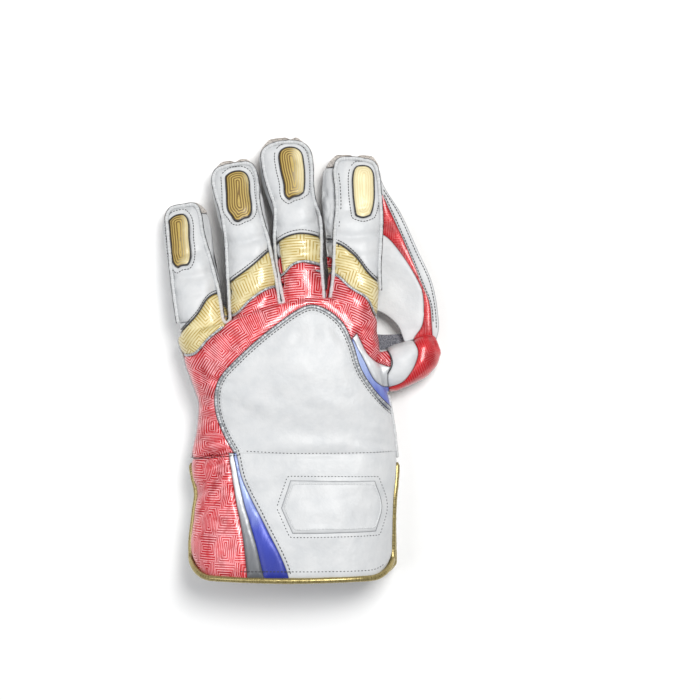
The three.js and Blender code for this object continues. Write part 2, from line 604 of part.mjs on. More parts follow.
// Fingers: rubber face that wraps over the tip, and two side walls
Object.keys(FINGERS).forEach((name, number) => {
  const frame = fingerFrames[name];
  const seam = PALM_SEAM * FINGER_DEPTH;
  const profile = [[-FAR, -FAR], [FAR, -FAR], [FAR, FAR], [0.96 * frame.length, FAR], [0.9 * frame.length, seam], [-FAR, seam]];
  const half = (way) => (margin) => fingerField(number, margin).intersect(
    prism([frame.at(0, -9), frame.at(way * 9, -9), frame.at(way * 9, 9), frame.at(0, 9)], -FAR, FAR, margin));
  peel(`${name}_palm`, (margin) => fingerField(number, margin).intersect(sideCut(profile, frame, margin)), materials.rubber);
  peel(`${name}_gusset_left`, half(-1), materials.leather);
  peel(`${name}_gusset_right`, half(1), materials.leather);
});

// Palm flap of the cuff, the hand's side walls and the rubber palm
peel("palm_cuff", (margin) => prism([[-FAR, WRIST_Y], [-FAR, -FAR], [FAR, -FAR], [FAR, WRIST_Y]], -FAR, FAR, margin), materials.leather);
const sideWall = (outline) => (margin) => prism(outline.map(handPoint), palmSeam, FAR, margin);
peel("hand_side_left", sideWall([[-0.9, -0.1], [-0.38, -0.1], [-0.38, 1.5], [-0.9, 1.5]]), materials.leather);
peel("hand_side_right", sideWall([[0.9, -0.1], [0.36, -0.1], [0.36, 1.5], [0.9, 1.5]]), materials.leather);
addPiece("palm_rubber", rest, materials.rubber);

addPiece("back_piping", piping(1, PIPING_DIAMETER / 2), materials.piping);
addPiece("palm_piping", piping(-1, PIPING_DIAMETER / 2), materials.piping);

// A thin sheet over the web's field, its top at a sagging height less drop
function sheet(drop, thickness) {
  const [nx, ny] = [3, 5];
  const [x0, y0] = handPoint([0.3, 0.5]);
  const [x1, y1] = handPoint([0.8, 2.0]);
  const vertices = [];
  const triangles = [];
  const level = (x, y) => {
    const out = ((x - x0) / (x1 - x0) - 0.5) * 2;
    const up = ((y - y0) / (y1 - y0) - 0.45) * 2;
    return WEB_HEIGHT - drop - WEB_SAG * Math.exp(-2 * (out ** 2 + up ** 2));
  };
  for (const depth of [0, thickness]) {
    for (let j = 0; j <= ny; j++) {
      for (let i = 0; i <= nx; i++) {
        const x = THREE.MathUtils.lerp(x0, x1, i / nx);
        const y = THREE.MathUtils.lerp(y0, y1, j / ny);
        vertices.push(x, y, level(x, y) - depth);
      }
    }
  }
  const id = (layer, i, j) => layer * (nx + 1) * (ny + 1) + j * (nx + 1) + i;
  const quad = (a, b, c, d) => triangles.push(a, b, c, a, c, d);
  for (let j = 0; j < ny; j++) {
    for (let i = 0; i < nx; i++) {
      quad(id(0, i, j), id(0, i + 1, j), id(0, i + 1, j + 1), id(0, i, j + 1));
      quad(id(1, i, j), id(1, i, j + 1), id(1, i + 1, j + 1), id(1, i + 1, j));
    }
  }
  for (let i = 0; i < nx; i++) {
    quad(id(1, i, 0), id(1, i + 1, 0), id(0, i + 1, 0), id(0, i, 0));
    quad(id(1, i + 1, ny), id(1, i, ny), id(0, i, ny), id(0, i + 1, ny));
  }
  for (let j = 0; j < ny; j++) {
    quad(id(1, nx, j), id(1, nx, j + 1), id(0, nx, j + 1), id(0, nx, j));
    quad(id(1, 0, j + 1), id(1, 0, j), id(0, 0, j), id(0, 0, j + 1));
  }
  return solidOf(vertices, triangles);
}

// Web: leather over rubber, seated against the index finger and the thumb
const seat = form(even(1.6 * CLEARANCE), 0);
const webField = prism(WEB.map(handPoint), -FAR, FAR);
const webTop = sheet(0, WEB_LEATHER).intersect(webField).subtract(seat);
const webRegion = (outline, margin) => prism(outline.map(handPoint), -FAR, FAR, margin);
addPiece("web_rubber", sheet(WEB_LEATHER + CLEARANCE, WEB_RUBBER).intersect(webField).subtract(seat), materials.rubber);
addPiece("web_stripe", webTop.intersect(webRegion(WEB_STRIPE, 0)), materials.red);
const webPlain = webTop.subtract(webRegion(WEB_STRIPE, CLEARANCE));
addPiece("web_leather", webPlain.intersect(webRegion(WEB_INSIDE, 0)), materials.leather);
addPiece("web_border", webPlain.subtract(webRegion(WEB_INSIDE, CLEARANCE)), materials.leather);
const knitTop = sheet(WEB_LEATHER + WEB_RUBBER + KNIT_DROP, WEB_LEATHER);
addPiece("web_knit", knitTop.intersect(webRegion(KNIT, 0)).subtract(seat), materials.knit);

export default glove;
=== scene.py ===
# Looks of a left-hand wicketkeeping glove lying on its palm. Metres, +Z up, fingers along +Y.
import math

import bmesh
import bpy
import numpy as np
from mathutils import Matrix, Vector
from mathutils.bvhtree import BVHTree
from mathutils.kdtree import KDTree


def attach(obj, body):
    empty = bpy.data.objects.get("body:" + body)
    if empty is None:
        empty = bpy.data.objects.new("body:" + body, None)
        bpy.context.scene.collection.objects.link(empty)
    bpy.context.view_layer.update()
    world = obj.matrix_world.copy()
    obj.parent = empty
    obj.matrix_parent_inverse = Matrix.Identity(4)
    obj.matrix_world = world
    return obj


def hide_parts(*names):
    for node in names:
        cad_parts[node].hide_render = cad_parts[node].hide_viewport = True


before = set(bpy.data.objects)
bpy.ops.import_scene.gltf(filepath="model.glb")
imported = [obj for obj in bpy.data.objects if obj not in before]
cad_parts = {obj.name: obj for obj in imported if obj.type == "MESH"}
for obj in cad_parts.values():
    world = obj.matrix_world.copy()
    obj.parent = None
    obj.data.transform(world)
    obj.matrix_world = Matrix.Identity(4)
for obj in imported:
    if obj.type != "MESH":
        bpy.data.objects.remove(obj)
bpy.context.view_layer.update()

MM = 0.001

# Driving sizes in millimetres, as in the part's source
HAND_WIDTH = 144
HAND_LENGTH = 113
HAND_DEPTH = 57
PALM_TO_WRIST = 42
CUFF_WIDTH = 151
CUFF_LENGTH = 83
CUFF_DEPTH = 66
CUFF_CORNER = 17
SLIT_HEIGHT = 11
FINGER_LENGTH = 120
FINGER_WIDTH = 38
FINGER_DEPTH = 44
THUMB_LENGTH = 68
THUMB_WIDTH = 34
THUMB_DEPTH = 33
BACK_WALL = 3.0
SIDE_WALL = 2.4
PALM_WALL = 3.0
SEAM_GAP = 0.12
PIPING_DIAMETER = 3.4
WEB_HEIGHT = 21
WEB_LEATHER = 1.8
WEB_RUBBER = 1.4
WEB_SAG = 4
KNIT_DROP = 5
BACK_SEAM = 0.42
PALM_SEAM = 0.2
FINGER_BACK_SEAM = 0.29
BOXINESS = 2.7
FAR = 230
WRIST_Y = -PALM_TO_WRIST
MOUTH_Y = WRIST_Y - CUFF_LENGTH

# Fineness of the skin, in millimetres
VOXEL = 1.25
HOLLOW_VOXEL = 2.4
AROUND = 72

# Columns of the tables of rows, in shares of the length, width and depth
ALL_SIDES = ("along", "left", "right", "low", "high")
WIDTHS = ("along", "left", "right")
HEIGHTS = ("along", "low", "high")


def rows_of(columns, rows):
    return [dict(zip(columns, row)) for row in rows]


CUFF_ROWS = rows_of(ALL_SIDES, [
    (-1.0, -0.479, 0.484, -0.03, 1.0),
    (-0.74, -0.484, 0.484, -0.03, 0.98),
    (-0.42, -0.464, 0.49, -0.03, 0.93),
    (-0.3, -0.452, 0.496, -0.03, 0.89),
    (-0.15, -0.478, 0.504, -0.03, 0.88),
])
HAND_ROWS = rows_of(ALL_SIDES, [
    (0.0, -0.508, 0.53, -0.04, 0.98),
    (0.18, -0.475, 0.515, -0.04, 0.96),
    (0.36, -0.463, 0.492, -0.04, 1.0),
    (0.6, -0.532, 0.445, -0.04, 1.0),
    (0.78, -0.578, 0.435, -0.02, 0.96),
    (0.92, -0.56, 0.4, 0.03, 0.89),
    (1.08, -0.45, 0.36, 0.08, 0.8),
])
CROTCHES = [
    [-0.7, 0.72],
    [-0.33, 0.86],
    [-0.06, 0.98],
    [0.18, 1.02],
    [0.6, 1.05],
]
GAPS = [
    [[-0.95, 0.9], [-0.95, 2.1]],
    [[-0.405, 1.56], [-0.44, 2.1]],
    [[-0.117, 1.52], [-0.165, 1.8], [-0.21, 2.1]],
    [[0.157, 1.4], [0.132, 1.63], [0.127, 2.1]],
    [[0.6, 2.1]],
]
FINGER_HEIGHTS = rows_of(HEIGHTS, [
    (-0.35, 0.08, 1.06),
    (0.0, 0.1, 1.04),
    (0.3, 0.14, 0.96),
    (0.55, 0.13, 0.84),
    (0.8, 0.05, 0.7),
    (0.95, 0.02, 0.58),
    (1.02, 0.1, 0.42),
])
FINGERS = {
    "little": {
        "base": [-0.43, 0.79],
        "length": 0.8,
        "lean": -9.2,
        "sides": rows_of(WIDTHS, [
            (-0.35, -0.4, 0.4),
            (0.0, -0.49, 0.5),
            (0.3, -0.5, 0.42),
            (0.55, -0.53, 0.34),
            (0.8, -0.54, 0.38),
            (0.95, -0.5, 0.35),
            (1.0, -0.44, 0.26),
            (1.025, -0.34, 0.14),
        ]),
        "band": [
            [-0.62, 0.0], [-0.09, 0.16], [0.23, 0.29], [0.6, 0.3], [0.38, 0.04], [0.07, -0.03],
            [-0.29, -0.13], [-0.62, -0.1],
        ],
    },
    "ring": {
        "base": [-0.19, 0.955],
        "length": 0.91,
        "lean": -7.7,
        "sides": rows_of(WIDTHS, [
            (-0.35, -0.42, 0.44),
            (0.0, -0.46, 0.52),
            (0.22, -0.43, 0.52),
            (0.45, -0.35, 0.5),
            (0.62, -0.45, 0.44),
            (0.83, -0.51, 0.42),
            (0.95, -0.48, 0.37),
            (1.0, -0.38, 0.3),
            (1.02, -0.26, 0.2),
        ]),
        "band": [
            [-0.62, 0.16], [0.05, 0.28], [0.62, 0.42], [0.62, 0.14], [0.3, 0.12], [-0.04, 0.06],
            [-0.36, -0.02], [-0.62, -0.02],
        ],
    },
    "middle": {
        "base": [0.066, 1.006],
        "length": 1.0,
        "lean": -5.2,
        "sides": rows_of(WIDTHS, [
            (-0.35, -0.4, 0.42),
            (0.0, -0.43, 0.42),
            (0.36, -0.46, 0.41),
            (0.56, -0.46, 0.36),
            (0.75, -0.62, 0.36),
            (0.93, -0.64, 0.34),
            (0.99, -0.54, 0.24),
            (1.015, -0.4, 0.1),
        ]),
        "band": [
            [-0.62, 0.34], [-0.21, 0.4], [0.04, 0.41], [0.62, 0.36], [0.62, 0.18], [0.01, 0.24],
            [-0.19, 0.22], [-0.37, 0.17], [-0.62, 0.16],
        ],
    },
    "index": {
        "base": [0.304, 0.985],
        "length": 0.907,
        "lean": 1.2,
        "sides": rows_of(WIDTHS, [
            (-0.45, -0.48, 0.46),
            (0.0, -0.47, 0.48),
            (0.15, -0.49, 0.5),
            (0.5, -0.55, 0.54),
            (0.7, -0.62, 0.54),
            (0.9, -0.61, 0.5),
            (0.98, -0.5, 0.44),
            (1.015, -0.36, 0.32),
        ]),
        "band": [
            [-0.7, 0.42], [-0.33, 0.41], [0.02, 0.33], [0.33, 0.2], [0.7, 0.1], [0.7, -0.1], [0.49, -0.08],
            [0.29, 0.04], [-0.03, 0.11], [-0.34, 0.2], [-0.7, 0.22],
        ],
    },
}
THUMB = {
    "base": [0.294, 0.472],
    "lean": 69.3,
    "sides": rows_of(ALL_SIDES, [
        (-0.3, -0.4, 0.42, 0.03, 0.95),
        (0.25, -0.44, 0.48, 0.0, 1.0),
        (0.6, -0.45, 0.46, -0.02, 1.0),
        (0.8, -0.43, 0.42, 0.0, 0.95),
        (0.95, -0.42, 0.27, 0.04, 0.84),
        (1.03, -0.36, 0.05, 0.16, 0.66),
    ]),
}
BACK_SEAM_LINE = 0.045
CENTRE_LEFT = [
    [-0.27, BACK_SEAM_LINE], [-0.32, 0.15], [-0.36, 0.28], [-0.37, 0.38], [-0.35, 0.5], [-0.26, 0.63],
    [-0.15, 0.76], [-0.06, 0.85], [0.04, 0.94], [0.1, 0.97],
]
CENTRE_RIGHT = [[0.16, 0.95], [0.25, 0.86], [0.3, 0.73], [0.34, 0.57], [0.41, 0.43], [0.5, 0.31]]
BACK_PANEL = [*CENTRE_LEFT, *CENTRE_RIGHT, [0.7, 0.28], [0.7, BACK_SEAM_LINE]]
CUFF_PANEL = [
    [-0.27, BACK_SEAM_LINE], [0.7, BACK_SEAM_LINE], [0.7, -1.2], [0.02, -1.2], [-0.02, -0.92],
    [-0.14, -0.5], [-0.24, -0.16],
]
CUFF_BLUE = [
    [-0.27, BACK_SEAM_LINE], [-0.24, -0.16], [-0.14, -0.5], [-0.02, -0.92], [0.02, -1.2], [-0.1, -1.2],
    [-0.17, -0.7], [-0.24, -0.3], [-0.285, BACK_SEAM_LINE],
]
CUFF_SILVER = [
    [-0.285, BACK_SEAM_LINE], [-0.24, -0.3], [-0.17, -0.7], [-0.1, -1.2], [-0.2, -1.2], [-0.23, -0.7],
    [-0.28, -0.25], [-0.31, BACK_SEAM_LINE],
]
CUFF_RED = [
    [-0.31, BACK_SEAM_LINE], [-0.28, -0.25], [-0.23, -0.7], [-0.2, -1.2], [-0.8, -1.2], [-0.8, 0.0],
    [-0.5, 0.0],
]
SIDE_BLUE = [
    [0.3, 0.73], [0.34, 0.57], [0.41, 0.43], [0.5, 0.31], [0.6, 0.28], [0.6, 0.42], [0.47, 0.46],
    [0.42, 0.5], [0.37, 0.62], [0.31, 0.77],
]
SIDE_SILVER = [
    [0.31, 0.77], [0.37, 0.62], [0.42, 0.5], [0.47, 0.46], [0.6, 0.42], [0.6, 0.55], [0.43, 0.62],
    [0.38, 0.68], [0.33, 0.8],
]
KNUCKLE_BAND = [
    [-0.9, 0.0], [-0.31, 0.0], [0.7, 0.4], [0.7, 0.86], [0.44, 1.0], [0.31, 1.2], [0.17, 1.3], [0.04, 1.34],
    [-0.09, 1.27], [-0.21, 1.12], [-0.33, 0.99], [-0.44, 0.86], [-0.55, 0.71], [-0.9, 0.6],
]
PATCH = [[-0.045, -0.4], [0.0, -0.17], [0.42, -0.18], [0.456, -0.4], [0.425, -0.61], [0.012, -0.615]]
THUMB_FIELD = [
    [0.455, 0.76], [0.495, 0.67], [0.5, 0.6], [0.485, 0.53], [0.5, 0.4], [0.54, 0.2], [0.95, 0.2],
    [0.95, 1.0], [0.46, 0.9],
]
THUMB_BAND = [
    [0.61, 0.78], [0.64, 0.69], [0.63, 0.62], [0.6, 0.54], [0.56, 0.48], [0.46, 0.44], [0.46, 0.2],
    [0.95, 0.2], [0.95, 1.0], [0.6, 1.0],
]
WEB = [
    [0.36, 1.9], [0.42, 1.9], [0.47, 1.75], [0.55, 1.59], [0.64, 1.34], [0.71, 1.14], [0.74, 0.95],
    [0.745, 0.82], [0.7, 0.66], [0.6, 0.66], [0.565, 0.77], [0.54, 0.85], [0.47, 0.93], [0.36, 0.98],
]
WEB_STRIPE = [
    [0.36, 1.7], [0.46, 1.7], [0.53, 1.51], [0.6, 1.31], [0.66, 1.12], [0.7, 0.99], [0.71, 0.86],
    [0.72, 0.6], [0.6, 0.6], [0.615, 0.76], [0.66, 0.85], [0.67, 0.97], [0.66, 1.08], [0.62, 1.19],
    [0.55, 1.33], [0.48, 1.43], [0.36, 1.5],
]
WEB_INSIDE = [
    [0.36, 1.5], [0.48, 1.43], [0.55, 1.33], [0.62, 1.19], [0.66, 1.08], [0.67, 0.97], [0.66, 0.85],
    [0.615, 0.76], [0.58, 0.5], [0.2, 0.5], [0.2, 1.5],
]
KNIT = [[0.4, 0.8], [0.47, 0.795], [0.575, 0.8], [0.6, 0.7], [0.5, 0.64], [0.4, 0.64]]
# How many points of a band's outline make its upper edge
BAND_TOPS = {"little": 4, "ring": 3, "middle": 4, "index": 5}
# Raw edges that stand up round each finger's back, from crotch to crotch, in plan millimetres
RIDGES = {
    "little": [
        [-82, 56], [-86, 83.5], [-88, 101.5], [-90.5, 123.5], [-91.5, 134.5], [-89, 139.5], [-80, 142],
        [-71.5, 142.5], [-68, 136.5], [-65.5, 123.5], [-63, 114], [-59.5, 103.5], [-57, 94.5],
        [-53, 79.5], [-49.5, 59],
    ],
    "ring": [
        [-44.5, 59], [-45.5, 79.5], [-46.5, 94.5], [-47.5, 111], [-48.5, 123.5], [-51.5, 138.5],
        [-55.5, 151], [-57.5, 162.5], [-55, 168], [-48.5, 170.5], [-39.5, 172.5], [-31, 172.5],
        [-28, 168.5], [-25.5, 158.5], [-24.5, 144], [-21, 129], [-17.5, 118], [-14, 101.5], [-11, 87],
        [-9, 72],
    ],
    "middle": [
        [-5.5, 72], [-8.5, 85], [-11.5, 101.5], [-12.5, 118], [-12, 129], [-12, 140], [-15.5, 151],
        [-19, 162.5], [-21, 173.5], [-21, 181.5], [-15.5, 186], [-4.5, 188.5], [6.5, 187.5], [11.5, 183],
        [14, 171.5], [14.5, 156.5], [16.5, 144], [20, 134.5], [21.5, 118], [21.5, 101.5], [22.5, 87],
        [23.5, 73],
    ],
    "index": [
        [28, 73], [30, 87], [31, 105.5], [31.5, 123.5], [33, 140], [32.5, 155], [31.5, 168], [34, 175],
        [41, 176.5], [52, 175.5], [59.5, 173], [62.5, 164], [64, 149.5], [65, 133], [64.5, 114.5],
        [63.5, 98], [64, 79.5],
    ],
}
# Guards of the finger tips: rounded windows with a notch at their lower end, in plan millimetres
GUARDS = {
    "little": [
        [-90, 131], [-86, 134.5], [-79.5, 136], [-76.5, 133], [-74.5, 118], [-73.5, 101], [-75, 98],
        [-80, 97.5], [-82.5, 95.8], [-85.5, 99], [-88, 114.5],
    ],
    "ring": [
        [-48.5, 163], [-45, 166], [-36, 167], [-32.5, 164], [-30.5, 151], [-29.5, 135], [-31, 133],
        [-35, 132], [-38, 129.8], [-41, 130.2], [-43.5, 134], [-46, 137], [-47.5, 151],
    ],
    "middle": [
        [-9, 181], [-6, 184], [2, 184.5], [6.5, 181.5], [8.5, 173.5], [9.5, 160.5], [9, 151],
        [5.5, 148.5], [1, 147.6], [-2, 145.6], [-4.6, 148], [-5.5, 156.5], [-8.5, 169.5],
    ],
    "index": [
        [45.5, 168.5], [47.5, 171], [55, 171], [58.5, 168], [60, 156.5], [59.5, 142], [57.5, 134.5],
        [52, 132.5], [46.5, 134], [44.5, 151],
    ],
}

# Materials, by the record's slots
def linear(red, green, blue):
    """A colour of 0 to 255 as Blender's linear values."""
    values = []
    for channel in (red, green, blue):
        c = channel / 255
        values.append(c / 12.92 if c <= 0.04045 else ((c + 0.055) / 1.055) ** 2.4)
    return (*values, 1.0)


class Shader:
    """A material under construction; each method adds a node and gives its output."""

    def __init__(self, name):
        self.material = bpy.data.materials.new(name)
        self.material.use_nodes = True
        self.nodes = self.material.node_tree.nodes
        self.links = self.material.node_tree.links
        self.surface = self.nodes["Principled BSDF"]

    def node(self, kind, inputs, output=0, **settings):
        made = self.nodes.new(kind)
        for key, value in settings.items():
            setattr(made, key, value)
        for key, value in inputs.items():
            if isinstance(value, bpy.types.NodeSocket):
                self.links.new(value, made.inputs[key])
            else:
                made.inputs[key].default_value = value
        return made.outputs[output]

    def math(self, operation, *values):
        return self.node("ShaderNodeMath", dict(enumerate(values)), operation=operation)

    def flow(self):
        return self.node("ShaderNodeAttribute", {}, output=1, attribute_name="flow")

    def rim(self):
        return self.node("ShaderNodeAttribute", {}, output=2, attribute_name="rim")

    def upright(self):
        normal = self.node("ShaderNodeNewGeometry", {}, output=1)
        return self.math("ABSOLUTE", self.axes(normal)[2])

    def mark(self):
        return self.node("ShaderNodeAttribute", {}, output=2, attribute_name="mark")

    def axes(self, vector):
        made = self.nodes.new("ShaderNodeSeparateXYZ")
        self.links.new(vector, made.inputs[0])
        return made.outputs

    def noise(self, vector, scale, detail=3.0, rough=0.5):
        inputs = {"Vector": vector, "Scale": scale, "Detail": detail, "Roughness": rough}
        return self.node("ShaderNodeTexNoise", inputs)

    def drawn_out(self, vector, scale, detail, rough):
        """Noise with a scale of its own in each direction."""
        place = self.node("ShaderNodeMapping", {"Vector": vector, "Scale": scale})
        return self.noise(place, 1.0, detail, rough)

    def between(self, value, low, high, to_low=0.0, to_high=1.0):
        inputs = {0: value, 1: low, 2: high, 3: to_low, 4: to_high}
        return self.node("ShaderNodeMapRange", inputs, interpolation_type="SMOOTHSTEP")

    def mix(self, share, first, second):
        made = self.nodes.new("ShaderNodeMix")
        made.data_type = "RGBA"
        for key, value in ((0, share), (6, first), (7, second)):
            if isinstance(value, bpy.types.NodeSocket):
                self.links.new(value, made.inputs[key])
            else:
                made.inputs[key].default_value = value
        return made.outputs[2]

    def bump(self, height, strength, distance, normal=None):
        inputs = {"Height": height, "Strength": strength, "Distance": distance * MM}
        if normal is not None:
            inputs["Normal"] = normal
        return self.node("ShaderNodeBump", inputs)

    def finish(self, **values):
        for key, value in values.items():
            place = self.surface.inputs[key.replace("_", " ")]
            if isinstance(value, bpy.types.NodeSocket):
                self.links.new(value, place)
            else:
                place.default_value = value
        return self.material


def maze(shader, vector, cell, pitch):
    """Nested oblongs that lie and stand in alternate cells, as a share of line."""
    x, y = shader.axes(vector)[:2]
    u, v = shader.math("DIVIDE", x, cell), shader.math("DIVIDE", y, cell)
    fu = shader.math("SUBTRACT", shader.math("FRACT", u), 0.5)
    fv = shader.math("SUBTRACT", shader.math("FRACT", v), 0.5)
    cells = shader.math("ADD", shader.math("FLOOR", u), shader.math("FLOOR", v))
    odd = shader.math("GREATER_THAN", shader.math("FRACT", shader.math("MULTIPLY", cells, 0.5)), 0.25)
    au, av = shader.math("ABSOLUTE", fu), shader.math("ABSOLUTE", fv)
    nested = shader.math("MAXIMUM", shader.math("SUBTRACT", au, 0.2), av)
    stepped = shader.math("MAXIMUM", au, shader.math("SUBTRACT", av, 0.2))
    lying = shader.math("MULTIPLY", nested, shader.math("SUBTRACT", 1.0, odd))
    both = shader.math("ADD", lying, shader.math("MULTIPLY", stepped, odd))
    rows = shader.math("FRACT", shader.math("MULTIPLY", both, cell / pitch))
    away = shader.math("ABSOLUTE", shader.math("SUBTRACT", rows, 0.5))
    return shader.between(away, 0.27, 0.36)


def seam_shade(shader, colour, dark, reach=0.9):
    """Darkens a colour where the piece dips into its seam."""
    share = shader.between(shader.rim(), 0.0, reach, 0.75, 0.0)
    return shader.mix(share, colour, dark)


def leather_paint():
    s = Shader("white leather")
    flow = s.flow()
    grain = s.node("ShaderNodeTexVoronoi", {"Vector": flow, "Scale": 1.15})
    pores = s.noise(flow, 2.6, 4)
    soft = s.noise(flow, 0.09, 3)
    wrinkle = s.noise(flow, 0.14, 4, 0.5)
    tone = s.mix(s.between(soft, 0.3, 0.75), linear(212, 213, 214), linear(203, 205, 207))
    tone = seam_shade(s, tone, linear(104, 107, 112), 0.8)
    fine = s.bump(s.math("ADD", grain, s.math("MULTIPLY", pores, 0.6)), 0.3, 0.08)
    folds = s.bump(wrinkle, 0.4, 1.6, fine)
    rough = s.between(pores, 0.3, 0.7, 0.4, 0.56)
    return s.finish(Base_Color=tone, Roughness=rough, Normal=folds, Coat_Weight=0.12, Coat_Roughness=0.35,
                    Specular_IOR_Level=0.45)


def foil_paint(name, base, line, deep, metal, cell, pitch, rough=0.26):
    """Foil printed with a maze of lines; cell and pitch are the maze's millimetres."""
    s = Shader(name)
    flow = s.flow()
    lines = maze(s, flow, cell, pitch)
    crease = s.drawn_out(flow, (0.25, 0.1, 0.2), 5, 0.6)
    soft = s.noise(flow, 0.07, 2)
    tone = s.mix(s.between(soft, 0.35, 0.7, 0.0, 0.55), base, deep)
    fade = s.math("MULTIPLY", s.between(s.noise(flow, 0.16, 2), 0.3, 0.55, 0.35, 1.0), s.mark())
    tone = s.mix(s.math("MULTIPLY", lines, fade), tone, line)
    tone = seam_shade(s, tone, deep)
    folds = s.bump(crease, 0.45, 0.8)
    fine = s.bump(lines, 0.25, 0.1, folds)
    gloss = s.between(crease, 0.3, 0.7, rough, rough + 0.16)
    return s.finish(Base_Color=tone, Metallic=metal, Roughness=gloss, Normal=fine,
                    Coat_Weight=0.5, Coat_Roughness=0.12)


def plain_foil(name, base, pale, deep, metal):
    """Silver and blue foil, with painted reflection: a pale painted highlight and a dark painted band run
    across the strip, crossed by creases.
    """
    s = Shader(name)
    flow = s.flow()
    crease = s.drawn_out(flow, (0.22, 0.07, 0.2), 5, 0.6)
    sheen = s.drawn_out(flow, (0.16, 0.028, 0.05), 2, 0.4)
    place = s.math("ADD", s.axes(flow)[1], s.math("MULTIPLY", sheen, 22.0))
    # Painted highlight: the pale colour stands in for the light the foil reflects
    tone = s.mix(s.between(place, -84.0, -46.0), base, pale)
    # Painted shade: the deep colour is a dark band of painted reflection towards the mouth
    tone = s.mix(s.between(place, -112.0, -78.0, 0.8, 0.0), tone, deep)
    tone = seam_shade(s, tone, deep)
    gloss = s.between(crease, 0.3, 0.7, 0.34, 0.5)
    return s.finish(Base_Color=tone, Metallic=metal, Roughness=gloss, Normal=s.bump(crease, 0.5, 0.7),
                    Coat_Weight=0.25, Coat_Roughness=0.3)


def guard_paint():
    """Lines that follow the guard's rim, on gold that is pale on one side and dark on the other: painted
    reflection and shade.
    """
    s = Shader("gold guard")
    rim, flow = s.rim(), s.flow()
    rows = s.math("ABSOLUTE", s.math("SUBTRACT", s.math("FRACT", s.math("DIVIDE", rim, 1.7)), 0.5))
    lines = s.between(rows, 0.2, 0.32)
    inside = s.between(rim, 0.5, 1.0)
    soft = s.noise(flow, 0.12, 3)
    # Painted reflection and shade: one side of each guard is painted pale and the other dark, and the guard's
    # mark moves where the dark begins
    across = s.math("ADD", s.math("MULTIPLY", s.axes(flow)[0], 0.1), s.math("MULTIPLY", soft, 0.6))
    dark = s.between(s.math("SUBTRACT", across, s.mark()), -0.9, 0.5, 1.0, 0.0)
    tone = s.mix(dark, linear(238, 226, 182), linear(120, 94, 42))
    tone = s.mix(s.math("MULTIPLY", lines, s.between(dark, 0.0, 1.0, 0.3, 0.75)), tone, linear(210, 182, 100))
    tone = s.mix(inside, linear(92, 70, 34), tone)
    relief = s.bump(s.math("MULTIPLY", lines, inside), 0.6, 0.25)
    gloss = s.between(soft, 0.3, 0.7, 0.4, 0.55)
    return s.finish(Base_Color=tone, Metallic=0.08, Roughness=gloss, Normal=relief,
                    Coat_Weight=0.25, Coat_Roughness=0.25)


DIMPLE_PITCH = 4.0


def rubber_paint():
    """Rubber with staggered rows of dimples, which fade out on its side walls."""
    s = Shader("palm rubber")
    x, y = s.axes(s.flow())[:2]
    row = s.math("DIVIDE", y, DIMPLE_PITCH * 0.5)
    odd = s.math("FRACT", s.math("MULTIPLY", s.math("FLOOR", row), 0.5))
    u = s.math("SUBTRACT", s.math("FRACT", s.math("ADD", s.math("DIVIDE", x, DIMPLE_PITCH), odd)), 0.5)
    v = s.math("MULTIPLY", s.math("SUBTRACT", s.math("FRACT", row), 0.5), 0.5)
    away = s.math("SQRT", s.math("ADD", s.math("MULTIPLY", u, u), s.math("MULTIPLY", v, v)))
    pit = s.math("MULTIPLY", s.between(away, 0.1, 0.17, 1.0, 0.0), s.between(s.upright(), 0.25, 0.6))
    soft = s.noise(s.flow(), 0.2, 4)
    tone = s.mix(s.between(soft, 0.3, 0.7), linear(214, 207, 200), linear(192, 185, 179))
    # Painted shade: the pit of each dimple is darkened as shadow, over a dimple that is only a bump
    tone = s.mix(s.math("MULTIPLY", pit, 0.85), tone, linear(104, 98, 94))
    tone = seam_shade(s, tone, linear(160, 154, 149), 0.7)
    relief = s.bump(s.math("SUBTRACT", 1.0, pit), 0.7, 0.5, s.bump(s.noise(s.flow(), 1.8, 4), 0.3, 0.2))
    return s.finish(Base_Color=tone, Roughness=s.between(soft, 0.3, 0.7, 0.62, 0.8), Normal=relief)


def cord_paint(name, base, pale, metal, rough, relief=0.8):
    """A bound or twisted cord; its flow runs along it."""
    s = Shader(name)
    flow = s.flow()
    crease = s.drawn_out(flow, (0.9, 0.15, 1.0), 4, 0.6)
    tone = s.mix(s.between(crease, 0.38, 0.66), base, pale)
    gloss = s.between(crease, 0.3, 0.7, rough, rough + 0.2)
    return s.finish(Base_Color=tone, Metallic=metal, Roughness=gloss, Normal=s.bump(crease, relief, 0.5),
                    Coat_Weight=0.15, Coat_Roughness=0.2)


def thread_paint(name, colour):
    s = Shader(name)
    twist = s.noise(s.flow(), 2.5, 2)
    tone = s.mix(s.between(twist, 0.35, 0.65, 0.0, 0.35), colour, linear(128, 128, 128))
    return s.finish(Base_Color=tone, Roughness=0.7, Normal=s.bump(twist, 0.4, 0.1))


def knit_paint():
    s = Shader("heather knit")
    x, y = s.axes(s.flow())[:2]
    ribs = s.math("ABSOLUTE", s.math("SINE", s.math("MULTIPLY", x, 2.6)))
    turns = s.math("ADD", s.math("MULTIPLY", y, 3.2), s.math("MULTIPLY", ribs, 0.8))
    loops = s.math("ABSOLUTE", s.math("SINE", turns))
    fleck = s.noise(s.flow(), 1.3, 5, 0.7)
    tone = s.mix(s.between(fleck, 0.36, 0.62), linear(86, 87, 98), linear(172, 173, 182))
    tone = s.mix(s.math("MULTIPLY", s.math("SUBTRACT", 1.0, loops), 0.5), tone, linear(60, 61, 70))
    relief = s.bump(s.math("MULTIPLY", ribs, loops), 0.9, 0.6)
    return s.finish(Base_Color=tone, Roughness=0.95, Normal=relief, Sheen_Weight=0.4, Sheen_Roughness=0.5)


